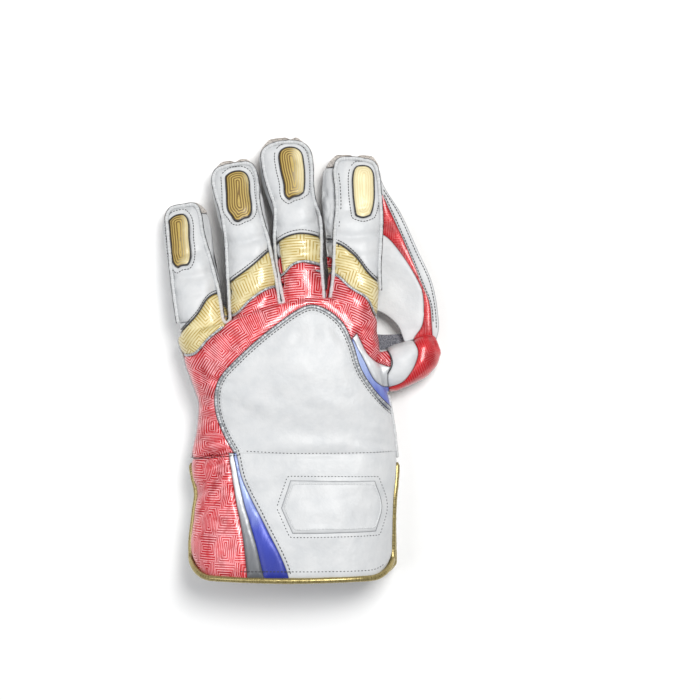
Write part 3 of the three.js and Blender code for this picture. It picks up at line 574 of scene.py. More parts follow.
def lining_paint():
    s = Shader("lining")
    across, along = [s.math("SINE", s.math("MULTIPLY", axis, 3.1)) for axis in s.axes(s.flow())[:2]]
    ribs = s.math("MULTIPLY", across, along)
    fleck = s.noise(s.flow(), 0.9, 4, 0.6)
    tone = s.mix(s.between(fleck, 0.3, 0.7), linear(196, 194, 190), linear(150, 149, 147))
    return s.finish(Base_Color=tone, Roughness=0.95, Normal=s.bump(ribs, 0.6, 0.3), Sheen_Weight=0.3)


painted = {}


def paint(slot):
    if slot not in painted:
        painted[slot] = PAINTS[slot]()
    return painted[slot]


PAINTS = {
    "white_leather": leather_paint,
    "red_foil": lambda: foil_paint(
        "red foil", linear(204, 4, 20), linear(250, 172, 178), linear(128, 0, 12), 0.12, 19.0, 1.75),
    "gold_foil": lambda: foil_paint(
        "gold foil", linear(230, 218, 170), linear(182, 152, 68), linear(206, 188, 126),
        0.04, 17.0, 1.95, 0.34),
    "gold_guard": guard_paint,
    "silver_foil": lambda: plain_foil(
        "silver foil", linear(134, 136, 140), linear(232, 234, 236), linear(84, 86, 90), 0.3),
    "blue_foil": lambda: plain_foil(
        "blue foil", linear(38, 58, 176), linear(176, 194, 240), linear(26, 40, 136), 0.15),
    "palm_rubber": rubber_paint,
    "gold_piping": lambda: cord_paint(
        "gold piping", linear(158, 142, 92), linear(178, 163, 112), 0.75, 0.22, 0.12),
    "grey_knit": knit_paint,
    "silver_cord": lambda: cord_paint("silver cord", linear(132, 135, 139), linear(214, 216, 219), 0.4, 0.32),
    "white_cord": lambda: cord_paint(
        "white raw edge", linear(204, 206, 207), linear(224, 225, 226), 0.0, 0.5),
    # The dark cord draws dark edges, and also the painted shadow beside the raw edges of the fingers
    "dark_cord": lambda: cord_paint("dark edge and painted shadow", linear(38, 38, 42), linear(78, 78, 84), 0.1, 0.45),
    "dark_thread": lambda: thread_paint("dark thread", linear(32, 33, 38)),
    "lining": lining_paint,
    "white_thread": lambda: thread_paint("white thread", linear(232, 234, 236)),
}
# Neighbours' slots for details that have no slot of their own; shown looks them up but does not use them
SLOTS = {
    "silver_cord": "silver_foil",
    "white_cord": "white_leather",
    "dark_cord": "white_leather",
    "dark_thread": "white_leather",
    "white_thread": "white_leather",
}

KEYS = ("left", "right", "low", "high")


def hand_point(share):
    """A place in shares of the hand as plan millimetres; below the wrist the cuff's length counts."""
    across, along = share
    return [across * HAND_WIDTH, WRIST_Y + along * (CUFF_LENGTH if along < 0 else HAND_LENGTH)]


def hand_points(shares):
    return [hand_point(share) for share in shares]


class Limb:
    """A frame along a finger or the thumb."""

    def __init__(self, base, lean, length, width):
        turn = math.radians(lean)
        self.base = np.array(hand_point(base))
        self.ahead = np.array([math.sin(turn), math.cos(turn)])
        self.side = np.array([math.cos(turn), -math.sin(turn)])
        self.length = length
        self.width = width

    def at(self, across, along):
        return list(self.base + self.ahead * along * self.length + self.side * across * self.width)

    def put(self, along, side, height):
        plan = self.base + np.outer(along * self.length, self.ahead) + np.outer(side, self.side)
        return np.column_stack([plan, height])

    def flow(self, points):
        """Millimetres across and along the limb."""
        away = points[:, :2] - self.base
        return np.column_stack([away @ self.side, away @ self.ahead, points[:, 2]])


limbs = {}
for finger_name, finger in FINGERS.items():
    limbs[finger_name] = Limb(finger["base"], finger["lean"], finger["length"] * FINGER_LENGTH, FINGER_WIDTH)
thumb_limb = Limb(THUMB["base"], THUMB["lean"], THUMB_LENGTH, THUMB_WIDTH)


def put_body(along, side, height):
    return np.column_stack([side, along, height])


def sampled(rows, count, blur):
    """Rows of a table at even places along it, with the kinks softened."""
    places = np.array([row["along"] for row in rows])
    along = np.linspace(places[0], places[-1], count)
    half = max(1, int(blur * count))
    kernel = np.hanning(2 * half + 3)[1:-1]
    kernel /= kernel.sum()
    columns = [along]
    for key in KEYS:
        line = np.interp(along, places, [row[key] for row in rows])
        padded_line = np.concatenate([np.full(half, line[0]), line, np.full(half, line[-1])])
        columns.append(np.convolve(padded_line, kernel, mode="valid"))
    return np.column_stack(columns)


def section(row, grow, angle):
    """Where the side of a boxy section lies, at angles from the +side direction."""
    left, right = row[1] - grow[0], row[2] + grow[0]
    low, high = row[3] - grow[1], row[4] + grow[2]
    middle = low + BACK_SEAM * (high - low)
    across = np.sign(np.cos(angle)) * np.abs(np.cos(angle)) ** (2 / BOXINESS)
    up = np.sign(np.sin(angle)) * np.abs(np.sin(angle)) ** (2 / BOXINESS)
    side = (left + right) / 2 + across * (right - left) / 2
    return side, middle + up * np.where(up > 0, high - middle, middle - low)


def raw_mesh(points, faces):
    """A mesh of points in metres."""
    mesh = bpy.data.meshes.new("work")
    mesh.from_pydata(points.tolist(), [], faces)
    return mesh


def linked(name, data):
    """A new object in the scene."""
    made = bpy.data.objects.new(name, data)
    bpy.context.scene.collection.objects.link(made)
    return made


def unit(vectors):
    """Rows of vectors, each with length 1."""
    return vectors / np.maximum(np.linalg.norm(vectors, axis=1, keepdims=True), 1e-9)


def walked_along(points):
    """How far along a line each of its points lies."""
    return np.concatenate([[0], np.cumsum(np.linalg.norm(np.diff(points, axis=0), axis=1))])


def at_places(places, walked, values):
    """The values along a line at other places along it."""
    return np.column_stack([np.interp(places, walked, values[:, axis]) for axis in range(3)])


def soften(values, rounds):
    """Averages the values along a line with their neighbours, apart from its ends."""
    for _ in range(rounds):
        values[1:-1] = (values[:-2] + 2 * values[1:-1] + values[2:]) / 4


def keep(mesh, name, values):
    """Stores a number or a vector for each point, for the materials."""
    kind, key = ("FLOAT", "value") if values.ndim == 1 else ("FLOAT_VECTOR", "vector")
    mesh.attributes.new(name, kind, "POINT").data.foreach_set(key, values.ravel())


def mesh_of(vertices, faces):
    """A mesh in metres from millimetres, turned so that its faces look out."""
    vertices = np.asarray(vertices, dtype=float)
    volume = 0.0
    for face in faces:
        a = vertices[face[0]]
        for j in range(1, len(face) - 1):
            volume += np.dot(a, np.cross(vertices[face[j]], vertices[face[j + 1]]))
            if len(faces) > 400:
                break
    if volume < 0:
        faces = [face[::-1] for face in faces]
    mesh = raw_mesh(vertices * MM, faces)
    mesh.validate()
    return mesh


def tube(table, put, grow, around=AROUND):
    angle = 2 * math.pi * (np.arange(around) + 0.5) / around
    rings = []
    for row in table:
        side, height = section(row, grow, angle)
        rings.append(put(np.full(around, row[0]), side, height))
    last = (len(rings) - 1) * around
    faces = [list(range(around)), [last + k for k in range(around)][::-1]]
    for i in range(len(rings) - 1):
        for k in range(around):
            n = (k + 1) % around
            faces.append([i * around + k, (i + 1) * around + k, (i + 1) * around + n, i * around + n])
    return mesh_of(np.vstack(rings), faces)


def area_of(points):
    x, y = np.array(points)[:, 0], np.array(points)[:, 1]
    return 0.5 * float(np.sum(x * np.roll(y, -1) - y * np.roll(x, -1)))


def curved(points, closed=True, corner=58, step=2.5):
    """An outline as a smooth curve through its points, with its sharp corners kept."""
    points = np.array(points, dtype=float)
    count = len(points)
    tangents = []
    for i in range(count):
        before = points[i - 1] if closed or i > 0 else points[i]
        after = points[(i + 1) % count] if closed or i < count - 1 else points[i]
        into, out = points[i] - before, after - points[i]
        length_in, length_out = np.linalg.norm(into), np.linalg.norm(out)
        if min(length_in, length_out) < 1e-9:
            tangents.append(None)
            continue
        cosine = np.clip(np.dot(into, out) / length_in / length_out, -1, 1)
        bend = math.degrees(math.acos(cosine))
        slope = (into / length_in + out / length_out) / 2
        tangents.append(None if bend > corner else slope / np.linalg.norm(slope))
    line = []
    for i in range(count if closed else count - 1):
        a, b = points[i], points[(i + 1) % count]
        reach = np.linalg.norm(b - a)
        straight = (b - a) / max(reach, 1e-9)
        ta = (straight if tangents[i] is None else tangents[i]) * reach
        tb = (straight if tangents[(i + 1) % count] is None else tangents[(i + 1) % count]) * reach
        if tangents[i] is None and tangents[(i + 1) % count] is None:
            line.append(a)
            continue
        steps = max(1, min(24, int(reach / step)))
        for t in np.arange(steps) / steps:
            h = (2 * t**3 - 3 * t**2 + 1, t**3 - 2 * t**2 + t, -2 * t**3 + 3 * t**2, t**3 - t**2)
            line.append(h[0] * a + h[1] * ta + h[2] * b + h[3] * tb)
    if not closed:
        line.append(points[-1])
    return [list(p) for p in line]


def grown(points, margin):
    """An outline moved out by a margin, whichever way round it runs."""
    points = np.array(points, dtype=float)
    if margin == 0:
        return points.tolist()
    turn = 1 if area_of(points) > 0 else -1
    into = unit(points - np.roll(points, 1, axis=0))
    out = np.roll(into, -1, axis=0)
    normal = unit(np.column_stack([into[:, 1] + out[:, 1], -into[:, 0] - out[:, 0]]))
    stretch = np.maximum(0.5, normal[:, 0] * into[:, 1] - normal[:, 1] * into[:, 0])
    return (points + turn * margin * normal / stretch[:, None]).tolist()


def prism(points, low, high, margin=0.0):
    """An upright prism of a plan outline between two heights."""
    outline = np.array(grown(points, margin))
    count = len(outline)
    bottom = np.column_stack([outline, np.full(count, low - margin)])
    top = np.column_stack([outline, np.full(count, high + margin)])
    faces = [list(range(count)), [count + i for i in range(count)][::-1]]
    if area_of(outline) > 0:
        faces = [face[::-1] for face in faces]
        faces += [[i, (i + 1) % count, count + (i + 1) % count, count + i] for i in range(count)]
    else:
        faces += [[i, count + i, count + (i + 1) % count, (i + 1) % count] for i in range(count)]
    return raw_mesh(np.vstack([bottom, top]) * MM, faces)


def side_cut(profile, base, ahead, side, margin=0.0):
    """A prism of a side profile (along, height), crossing the part from side to side."""
    outline = np.array(grown(profile, margin))
    count = len(outline)
    layers = []
    for reach in (-FAR, FAR):
        plan = np.array(base) + np.outer(outline[:, 0], ahead) + reach * np.array(side)
        layers.append(np.column_stack([plan, outline[:, 1]]))
    faces = [list(range(count)), [count + i for i in range(count)][::-1]]
    faces += [[i, count + i, count + (i + 1) % count, (i + 1) % count] for i in range(count)]
    return mesh_of(np.vstack(layers), faces)


def combined(first, second, how):
    """first with second joined on (UNION), taken away (DIFFERENCE) or kept in common (INTERSECT)."""
    a, b = linked("work_a", first), linked("work_b", second)
    cut = a.modifiers.new("cut", "BOOLEAN")
    cut.operation = how
    cut.solver = "MANIFOLD"
    cut.object = b
    graph = bpy.context.evaluated_depsgraph_get()
    made = bpy.data.meshes.new_from_object(a.evaluated_get(graph))
    for work in (a, b):
        bpy.data.objects.remove(work)
    return made


def joined(meshes):
    """Several meshes as one, still overlapping."""
    vertices, faces, start = [], [], 0
    for mesh in meshes:
        vertices.append(points_of(mesh))
        for polygon in mesh.polygons:
            faces.append([start + v for v in polygon.vertices])
        start += len(mesh.vertices)
    return raw_mesh(np.vstack(vertices), faces)


def points_of(mesh):
    flat = np.empty(len(mesh.vertices) * 3)
    mesh.vertices.foreach_get("co", flat)
    return flat.reshape(-1, 3)


def normals_of(mesh):
    flat = np.empty(len(mesh.vertices) * 3)
    mesh.vertex_normals.foreach_get("vector", flat)
    return flat.reshape(-1, 3)


def set_points(mesh, points):
    mesh.vertices.foreach_set("co", np.asarray(points, dtype=float).ravel())
    mesh.update()


def edges_of(mesh):
    flat = np.empty(len(mesh.edges) * 2, dtype=np.int64)
    mesh.edges.foreach_get("vertices", flat)
    return flat.reshape(-1, 2)


def relaxed(mesh, rounds):
    """Takes the voxel steps out of a mesh without shrinking it."""
    points, edges = points_of(mesh), edges_of(mesh)
    count = len(points)
    degree = np.bincount(edges.ravel(), minlength=count)[:, None]
    for i in range(2 * rounds):
        total = np.empty_like(points)
        for axis in range(3):
            total[:, axis] = np.bincount(edges[:, 0], points[edges[:, 1], axis], count)
            total[:, axis] += np.bincount(edges[:, 1], points[edges[:, 0], axis], count)
        points += (0.5 if i % 2 == 0 else -0.52) * (total / degree - points)
    set_points(mesh, points)


def remeshed(mesh, size):
    work = linked("work_a", mesh)
    remesh = work.modifiers.new("skin", "REMESH")
    remesh.mode = "VOXEL"
    remesh.voxel_size = size * MM
    graph = bpy.context.evaluated_depsgraph_get()
    made = bpy.data.meshes.new_from_object(work.evaluated_get(graph))
    bpy.data.objects.remove(work)
    return made


def sized(row, width, depth, start=0, length=1):
    """A row of shares as millimetres; its place stays a share where no length is given."""
    return {
        "along": start + row["along"] * length,
        "left": row["left"] * width,
        "right": row["right"] * width,
        "low": row["low"] * depth,
        "high": row["high"] * depth,
    }


# The hand and cuff as rows in millimetres, from beyond the mouth to the crotches
body_rows = [sized(row, CUFF_WIDTH, CUFF_DEPTH, WRIST_Y, CUFF_LENGTH) for row in CUFF_ROWS]
body_rows += [sized(row, HAND_WIDTH, HAND_DEPTH, WRIST_Y, HAND_LENGTH) for row in HAND_ROWS]
mouth_row = body_rows[0]
body_table = sampled([{**mouth_row, "along": MOUTH_Y - CUFF_CORNER}] + body_rows, 90, 0.03)


def finger_table(name):
    places = [row["along"] for row in FINGER_HEIGHTS]
    rows = []
    for row in FINGERS[name]["sides"]:
        low = np.interp(row["along"], places, [height["low"] for height in FINGER_HEIGHTS])
        high = np.interp(row["along"], places, [height["high"] for height in FINGER_HEIGHTS])
        rows.append(sized({**row, "low": low, "high": high}, FINGER_WIDTH, FINGER_DEPTH))
    return sampled(rows, 60, 0.025)


def thumb_table():
    return sampled([sized(row, THUMB_WIDTH, THUMB_DEPTH) for row in THUMB["sides"]], 50, 0.03)


WHOLE = [[-FAR, -FAR], [FAR, -FAR], [FAR, FAR], [-FAR, FAR]]
crotch_line = hand_points(CROTCHES)
beyond_hand = [[-FAR, crotch_line[0][1]], [-FAR, -FAR], [FAR, -FAR], [FAR, crotch_line[-1][1]]]
hand_field = beyond_hand[1:] + crotch_line[::-1] + beyond_hand[:1]


def finger_field(number):
    left = [CROTCHES[number]] + GAPS[number]
    right = [CROTCHES[number + 1]] + GAPS[number + 1]
    return hand_points(left + right[::-1])


GAP_WIDTHS = {1: 2.6, 2: 3.0, 3: 4.2}


def gap_walls(extra):
    """Thin walls between neighbouring fingers, starting narrow at the crotches."""
    walls = []
    for number, width in GAP_WIDTHS.items():
        line = np.array(curved(hand_points([CROTCHES[number]] + GAPS[number]), closed=False, corner=90))
        back = 1.5 + extra
        line = np.vstack([line[0] - back * (line[1] - line[0]) / np.linalg.norm(line[1] - line[0]), line])
        ahead = unit(np.gradient(line, axis=0))
        side = np.column_stack([ahead[:, 1], -ahead[:, 0]])
        reach = np.linalg.norm(line - line[0], axis=1)
        half = (extra / 2 + (width / 2) * np.clip(0.35 + reach / 25, 0, 1))[:, None]
        walls.append(prism((line + side * half).tolist() + (line - side * half).tolist()[::-1], -FAR, FAR))
    return walls


def form(grow, wall, voxel, rounds):
    """The outer or inner form as one smooth skin."""
    parts = [combined(tube(body_table, put_body, grow), prism(hand_field, -FAR, FAR, grow[0]), "INTERSECT")]
    for name in FINGERS:
        table = finger_table(name)
        table[-1, 0] += grow[0] / limbs[name].length
        limb = tube(table, limbs[name].put, grow)
        for blade in gap_walls(wall):
            limb = combined(limb, blade, "DIFFERENCE")
        parts.append(limb)
    table = thumb_table()
    table[-1, 0] += grow[0] / THUMB_LENGTH
    parts.append(tube(table, thumb_limb.put, grow))
    skin = remeshed(joined(parts), voxel)
    relaxed(skin, rounds)
    return skin


# Folds and dents: two ends in plan millimetres, half width, and height (down is negative)
FOLDS = [
    (-54, 4, -68, -2, 2.0, -1.6),
    (-53, -4, -68, -8, 2.2, 1.0),
    (-52, -9, -68, -15, 1.8, -1.8),
    (-50, -14, -68, -22, 2.2, 1.2),
    (-49, -19, -68, -29, 1.8, -1.8),
    (-46, -27, -66, -36, 2.4, 1.0),
    (-44, -33, -68, -45, 1.9, -1.9),
    (-42, -41, -70, -55, 2.4, 1.3),
    (-43, -50, -72, -64, 2.0, -1.8),
    (-45, -58, -70, -76, 2.6, 1.2),
    (-48, -68, -70, -86, 2.2, -1.6),
    (-40, 12, -62, 16, 2.4, -1.0),
    (20, 64, 13, 30, 7.0, -1.5),
    (27, 58, 42, 38, 4.5, -1.7),
    (6, 60, -4, 34, 8.0, 1.0),
    (52, 30, 62, 4, 2.4, -1.2),
    (58, 26, 70, 0, 2.2, 1.0),
    (46, 45, 60, 30, 2.2, -1.4),
    (52, 48, 66, 34, 2.0, 1.2),
    (56, -4, 74, -12, 3.0, -1.4),
    (50, -16, 74, -22, 3.0, 0.9),
    (46, -28, 74, -33, 3.0, -1.3),
    (-34, -38, 72, -38, 2.4, -1.1),
    (-30, -30, 70, -31, 4.5, 0.7),
    (-30, -62, 60, -52, 7.0, -0.9),
    (-6, -98, 66, -92, 6.0, 0.8),
    (40, -70, 72, -104, 6.0, -0.9),
    (-22, 10, 10, 20, 8.0, 0.9),
    (-40, -4, -10, -20, 6.0, -0.8),
]
FINGER_CREASES = [(0.33, 2.8, -0.8), (0.46, 3.2, -1.5), (0.56, 5.0, 0.9), (0.64, 2.6, -0.8)]


def ease(value, low, high):
    t = np.clip((value - low) / (high - low), 0, 1)
    return t * t * (3 - 2 * t)


def from_segment(x, y, fold):
    x0, y0, x1, y1 = fold[:4]
    reach = (x1 - x0) ** 2 + (y1 - y0) ** 2
    t = np.clip(((x - x0) * (x1 - x0) + (y - y0) * (y1 - y0)) / reach, 0, 1)
    return np.hypot(x - x0 - t * (x1 - x0), y - y0 - t * (y1 - y0)), t


def swell(points):
    """How far the leather of the back stands off its plain form, in millimetres."""
    x, y = points[:, 0], points[:, 1]
    height = 0.5 * np.sin(x / 11 + 1.3 * np.sin(y / 23)) * np.sin(y / 17 + 0.8 * np.sin(x / 19))
    height += 0.26 * np.sin(x / 5.1 + y / 7.3 + 2 * np.sin(y / 13)) * np.sin(y / 9.7 - x / 15)
    for fold in FOLDS:
        distance, t = from_segment(x, y, fold)
        height += fold[5] * np.exp(-((distance / fold[4]) ** 2)) * (0.35 + 0.65 * np.sin(np.pi * t) ** 2)
    for name, limb in limbs.items():
        flow = limb.flow(points)
        inside = (np.abs(flow[:, 0]) < 0.62 * FINGER_WIDTH) & (flow[:, 1] > 0) & (flow[:, 1] < limb.length)
        for along, width, depth in FINGER_CREASES:
            bow = 1.5 * np.sin(flow[:, 0] / 7 + 4 * along)
            away = (flow[:, 1] - along * limb.length + bow) / width
            height += np.where(inside, depth * np.exp(-(away**2)), 0)
    return height


def within(points, outline):
    """Which plan points lie inside an outline."""
    inside = np.zeros(len(points), dtype=bool)
    x, y = points[:, 0], points[:, 1]
    outline = np.array(outline)
    for (x0, y0), (x1, y1) in zip(outline, np.roll(outline, -1, axis=0)):
        if y0 != y1:
            inside ^= ((y0 > y) != (y1 > y)) & (x < (x1 - x0) * (y - y0) / (y1 - y0) + x0)
    return inside


def from_line(points, line):
    """Plan distance from points to the nearest point of a line."""
    best = np.full(len(points), 1e9)
    for spot in np.array(line):
        best = np.minimum(best, np.hypot(points[:, 0] - spot[0], points[:, 1] - spot[1]))
    return best


SIDE_DROP = 4.2
ridge_lines = {name: curved(line, closed=False, corner=75, step=1.0) for name, line in RIDGES.items()}


def side_fall(points):
    """How far the finger sides lie below the raw edges of the backs, in millimetres."""
    fall = np.zeros(len(points))
    for name, limb in limbs.items():
        line = ridge_lines[name]
        flow = limb.flow(points)
        foot = limb.flow(np.array([line[0] + [0], line[-1] + [0]]))[:, 1].max()
        near = (np.abs(flow[:, 0]) < 0.78 * FINGER_WIDTH) & (flow[:, 1] > foot - 4) & (points[:, 2] > 6)
        near = np.flatnonzero(near)
        place = points[near]
        outside = ~within(place, line)
        amount = SIDE_DROP * ease(from_line(place, line), 0.3, 3.2) * ease(flow[near, 1], foot, foot + 22)
        others = np.zeros(len(near), dtype=bool)
        for other in RIDGES:
            if other != name:
                others |= within(place, ridge_lines[other])
        fall[near] = np.maximum(fall[near], np.where(outside & ~others, amount, 0))
    return fall


def worn(mesh):
    """Lays the folds of the back, and the notches of the finger tips, on a skin."""
    points, normals = points_of(mesh) / MM, normals_of(mesh)
    facing = ease(normals[:, 2], 0.05, 0.6)
    points += normals * (swell(points) * facing)[:, None]
    points[:, 2] -= side_fall(points) * ease(normals[:, 2], -0.1, 0.5)
    for limb in limbs.values():
        flow = limb.flow(points)
        near = (np.abs(flow[:, 0]) < 0.6 * FINGER_WIDTH) & (flow[:, 1] > 0.85 * limb.length)
        near &= flow[:, 1] < 1.1 * limb.length
        notch = np.exp(-((flow[:, 0] / 2.4) ** 2)) * ease(flow[:, 1], 0.93 * limb.length, 1.0 * limb.length)
        push = np.where(near, 1.8 * notch, 0)
        points[:, :2] -= push[:, None] * limb.ahead
    set_points(mesh, points * MM)


outer = form((0.0, 0.0, 0.0), 0.0, VOXEL, 5)
hollow = form((-SIDE_WALL, -PALM_WALL, -BACK_WALL), 2 * SIDE_WALL, HOLLOW_VOXEL, 3)
for skin in (outer, hollow):
    worn(skin)
    blank = bmesh.new()
    blank.from_mesh(skin)
    bmesh.ops.triangulate(blank, faces=blank.faces)
    blank.to_mesh(skin)
    blank.free()


def tree_of(mesh):
    return BVHTree.FromPolygons(points_of(mesh).tolist(), [list(p.vertices) for p in mesh.polygons])


outer_tree = tree_of(outer)
hollow_tree = tree_of(hollow)

# The mouth's corners are rounded in plan, and a slit parts the back flap from the palm flap
slit_middle = mouth_row["low"] + BACK_SEAM * (mouth_row["high"] - mouth_row["low"])


def corner_line(x):
    over = max(0.0, mouth_row["left"] + CUFF_CORNER - x, x - mouth_row["right"] + CUFF_CORNER)
    return MOUTH_Y + CUFF_CORNER - math.sqrt(max(0.0, CUFF_CORNER**2 - over**2))


def mouth_field():
    line = []
    for edge, way in ((mouth_row["right"], 1), (mouth_row["left"], -1)):
        arc = []
        for angle in np.linspace(0, math.pi / 2, 20):
            x = edge - way * CUFF_CORNER * (1 - math.sin(angle))
            arc.append([x, MOUTH_Y + CUFF_CORNER * (1 - math.cos(angle))])
        if way > 0:
            corner_y = MOUTH_Y + CUFF_CORNER
            line += arc + [[FAR, corner_y], [FAR, FAR], [-FAR, FAR], [-FAR, corner_y]]
        else:
            line += arc[::-1]
    return line


def slit_edge(y, way):
    opened = min(1.0, max(0.0, (WRIST_Y - y) / (CUFF_LENGTH / 3)))
    return slit_middle + way * SLIT_HEIGHT * opened / 2


slit_end = WRIST_Y - CUFF_LENGTH / 3
slit = side_cut([
    [WRIST_Y, slit_middle],
    [slit_end, slit_edge(slit_end, 1)],
    [MOUTH_Y - CUFF_CORNER, slit_edge(MOUTH_Y, 1)],
    [MOUTH_Y - CUFF_CORNER, slit_edge(MOUTH_Y, -1)],
    [slit_end, slit_edge(slit_end, -1)],
], (0, 0), (0, 1), (1, 0))

rest = combined(outer, prism(mouth_field(), 0, FAR), "INTERSECT")
rest = combined(rest, combined(hollow, prism(WHOLE, PALM_WALL, FAR), "INTERSECT"), "DIFFERENCE")
rest = combined(rest, slit, "DIFFERENCE")
print("shell", len(outer.polygons), len(hollow.polygons), len(rest.polygons))

# The pieces, cut from the shell in the same order as the part's
pieces = {}

# What a cut leaves with fewer points than this is dropped
CRUMB = 30


def islands(mesh):
    """A mesh's largest part, and the rest of it that is more than crumbs."""
    edges = edges_of(mesh)
    count = len(mesh.vertices)
    label = np.arange(count)
    while True:
        low = np.minimum(label[edges[:, 0]], label[edges[:, 1]])
        fresh = label.copy()
        np.minimum.at(fresh, edges[:, 0], low)
        np.minimum.at(fresh, edges[:, 1], low)
        fresh = fresh[fresh]
        if np.array_equal(fresh, label):
            break
        label = fresh
    names, sizes = np.unique(label, return_counts=True)
    largest = names[np.argmax(sizes)]
    if len(names) == 1:
        return mesh, None
    others = names[(sizes >= CRUMB) & (names != largest)]
    leftovers = part_of(mesh, np.isin(label, others)) if len(others) else None
    return part_of(mesh, label == largest), leftovers


def part_of(mesh, kept):
    """The part of a mesh whose points are kept."""
    number = np.cumsum(kept) - 1
    faces = []
    for polygon in mesh.polygons:
        if kept[polygon.vertices[0]]:
            faces.append([int(number[v]) for v in polygon.vertices])
    return raw_mesh(points_of(mesh)[kept], faces)


def main_island(mesh):
    return islands(mesh)[0]


def peel(name, region, whole=True):
    """Takes a region of the shell as a piece, and leaves a seam round it."""
    global rest
    piece = rest
    for block in region(0.0):
        piece = combined(piece, block, "INTERSECT")
    pieces[name], others = islands(piece)
    if others and whole:
        pieces[name] = joined([pieces[name], others])
        others = None
    blocks = region(SEAM_GAP)
    cutter = blocks[0]
    for block in blocks[1:]:
        cutter = combined(cutter, block, "INTERSECT")
    rest = combined(rest, cutter, "DIFFERENCE")
    if others:
        rest = joined([rest, others])


def hand_panel(outline, low):
    shape = curved(hand_points(outline))
    return lambda margin: [prism(shape, low, FAR, margin)]


def finger_panel(limb, outline, low):
    shape = curved([limb.at(*point) for point in outline])
    return lambda margin: [prism(shape, low, FAR, margin)]


finger_back_seam = FINGER_BACK_SEAM * FINGER_DEPTH
hand_back_seam = BACK_SEAM * HAND_DEPTH
palm_seam = PALM_SEAM * HAND_DEPTH


def back_region(name, limb):
    """The back of a finger: inside its raw edge and above its band."""
    ridge = ridge_lines[name]
    lower = [limb.at(*point) for point in FINGERS[name]["band"][BAND_TOPS[name]:]]
    above = lower + [limb.at(-0.9, 1.4), limb.at(0.9, 1.4)]
    return lambda margin: [prism(shape, finger_back_seam, FAR, margin) for shape in (ridge, above)]


def guard_region(name):
    shape = curved(GUARDS[name], corner=50, step=1.5)
    return lambda margin: [prism(shape, finger_back_seam, FAR, margin)]


for name, finger in FINGERS.items():
    limb = limbs[name]
    peel(name + "_guard", guard_region(name))
    peel(name + "_band", finger_panel(limb, finger["band"], hand_back_seam), whole=False)
    peel(name + "_back", back_region(name, limb), whole=False)

thumb_shape = curved(hand_points(THUMB_FIELD))
thumb_band_shape = curved(hand_points(THUMB_BAND))
peel("thumb_rubber", lambda margin: [prism(thumb_shape, -FAR, palm_seam, margin)])
band_shapes = (thumb_shape, thumb_band_shape)
peel("thumb_band", lambda margin: [prism(shape, palm_seam, FAR, margin) for shape in band_shapes])
peel("thumb_back", lambda margin: [prism(thumb_shape, palm_seam, FAR, margin)])

peel("back_panel", hand_panel(BACK_PANEL, hand_back_seam))
peel("cuff_panel", hand_panel(CUFF_PANEL, slit_middle))
peel("cuff_blue", hand_panel(CUFF_BLUE, slit_middle))
peel("cuff_silver", hand_panel(CUFF_SILVER, slit_middle))
peel("cuff_red", hand_panel(CUFF_RED, slit_middle))
peel("side_blue", hand_panel(SIDE_BLUE, hand_back_seam))
peel("side_silver", hand_panel(SIDE_SILVER, hand_back_seam))
peel("knuckle_band", hand_panel(KNUCKLE_BAND, hand_back_seam))


def finger_sides(number, limb):
    field = finger_field(number)
    seam = PALM_SEAM * FINGER_DEPTH
    reach = limb.length
    tip = [[0.975 * reach, FAR], [0.93 * reach, seam]]
    profile = [[-FAR, -FAR], [FAR, -FAR], [FAR, FAR], *tip, [-FAR, seam]]

    def palm(margin):
        return [prism(field, -FAR, FAR, margin), side_cut(profile, limb.base, limb.ahead, limb.side, margin)]

    def half(way):
        shape = [limb.at(0, -9), limb.at(way * 9, -9), limb.at(way * 9, 9), limb.at(0, 9)]
        return lambda margin: [prism(field, -FAR, FAR, margin), prism(shape, -FAR, FAR, margin)]

    return palm, half(-1), half(1)


for number, (name, limb) in enumerate(limbs.items()):
    for part, region in zip(("palm", "gusset_left", "gusset_right"), finger_sides(number, limb)):
        peel(name + "_" + part, region)

below_wrist = [[-FAR, WRIST_Y], [-FAR, -FAR], [FAR, -FAR], [FAR, WRIST_Y]]
left_side = hand_points([[-0.9, -0.1], [-0.38, -0.1], [-0.38, 1.5], [-0.9, 1.5]])
right_side = hand_points([[0.9, -0.1], [0.36, -0.1], [0.36, 1.5], [0.9, 1.5]])
peel("palm_cuff", lambda margin: [prism(below_wrist, -FAR, FAR, margin)])
peel("hand_side_left", lambda margin: [prism(left_side, palm_seam, FAR, margin)])
peel("hand_side_right", lambda margin: [prism(right_side, palm_seam, FAR, margin)])
pieces["palm_rubber"] = main_island(rest)
for name, mesh in pieces.items():
    print(name, len(mesh.polygons))

# How each sort of piece is rolled at its rims and stands off the skin, in millimetres
LEATHER = {"roll": 1.0, "reach": 2.8, "stand": 0.5}
BAND = {"roll": 1.1, "reach": 3.0, "stand": 0.9}
GUARD = {"roll": 0.5, "reach": 1.4, "stand": 0.7}
FOIL = {"roll": 0.9, "reach": 2.4, "stand": 0.3}
RUBBER = {"roll": 0.6, "reach": 1.8, "stand": 0.0}


# A face nearer than this to a skin, in metres, lies on it
ON_SKIN = 0.00005
# Faces lower than this, in millimetres, are the flat base
BASE_HEIGHT = 0.3
# The largest rim distance kept for the materials, in millimetres
FAR_FROM_RIM = 20


def on_skin_faces(mesh, tree):
    flags = np.zeros(len(mesh.polygons), dtype=bool)
    for i, polygon in enumerate(mesh.polygons):
        found = tree.find_nearest(polygon.center, ON_SKIN)
        flags[i] = found[0] is not None
    return flags


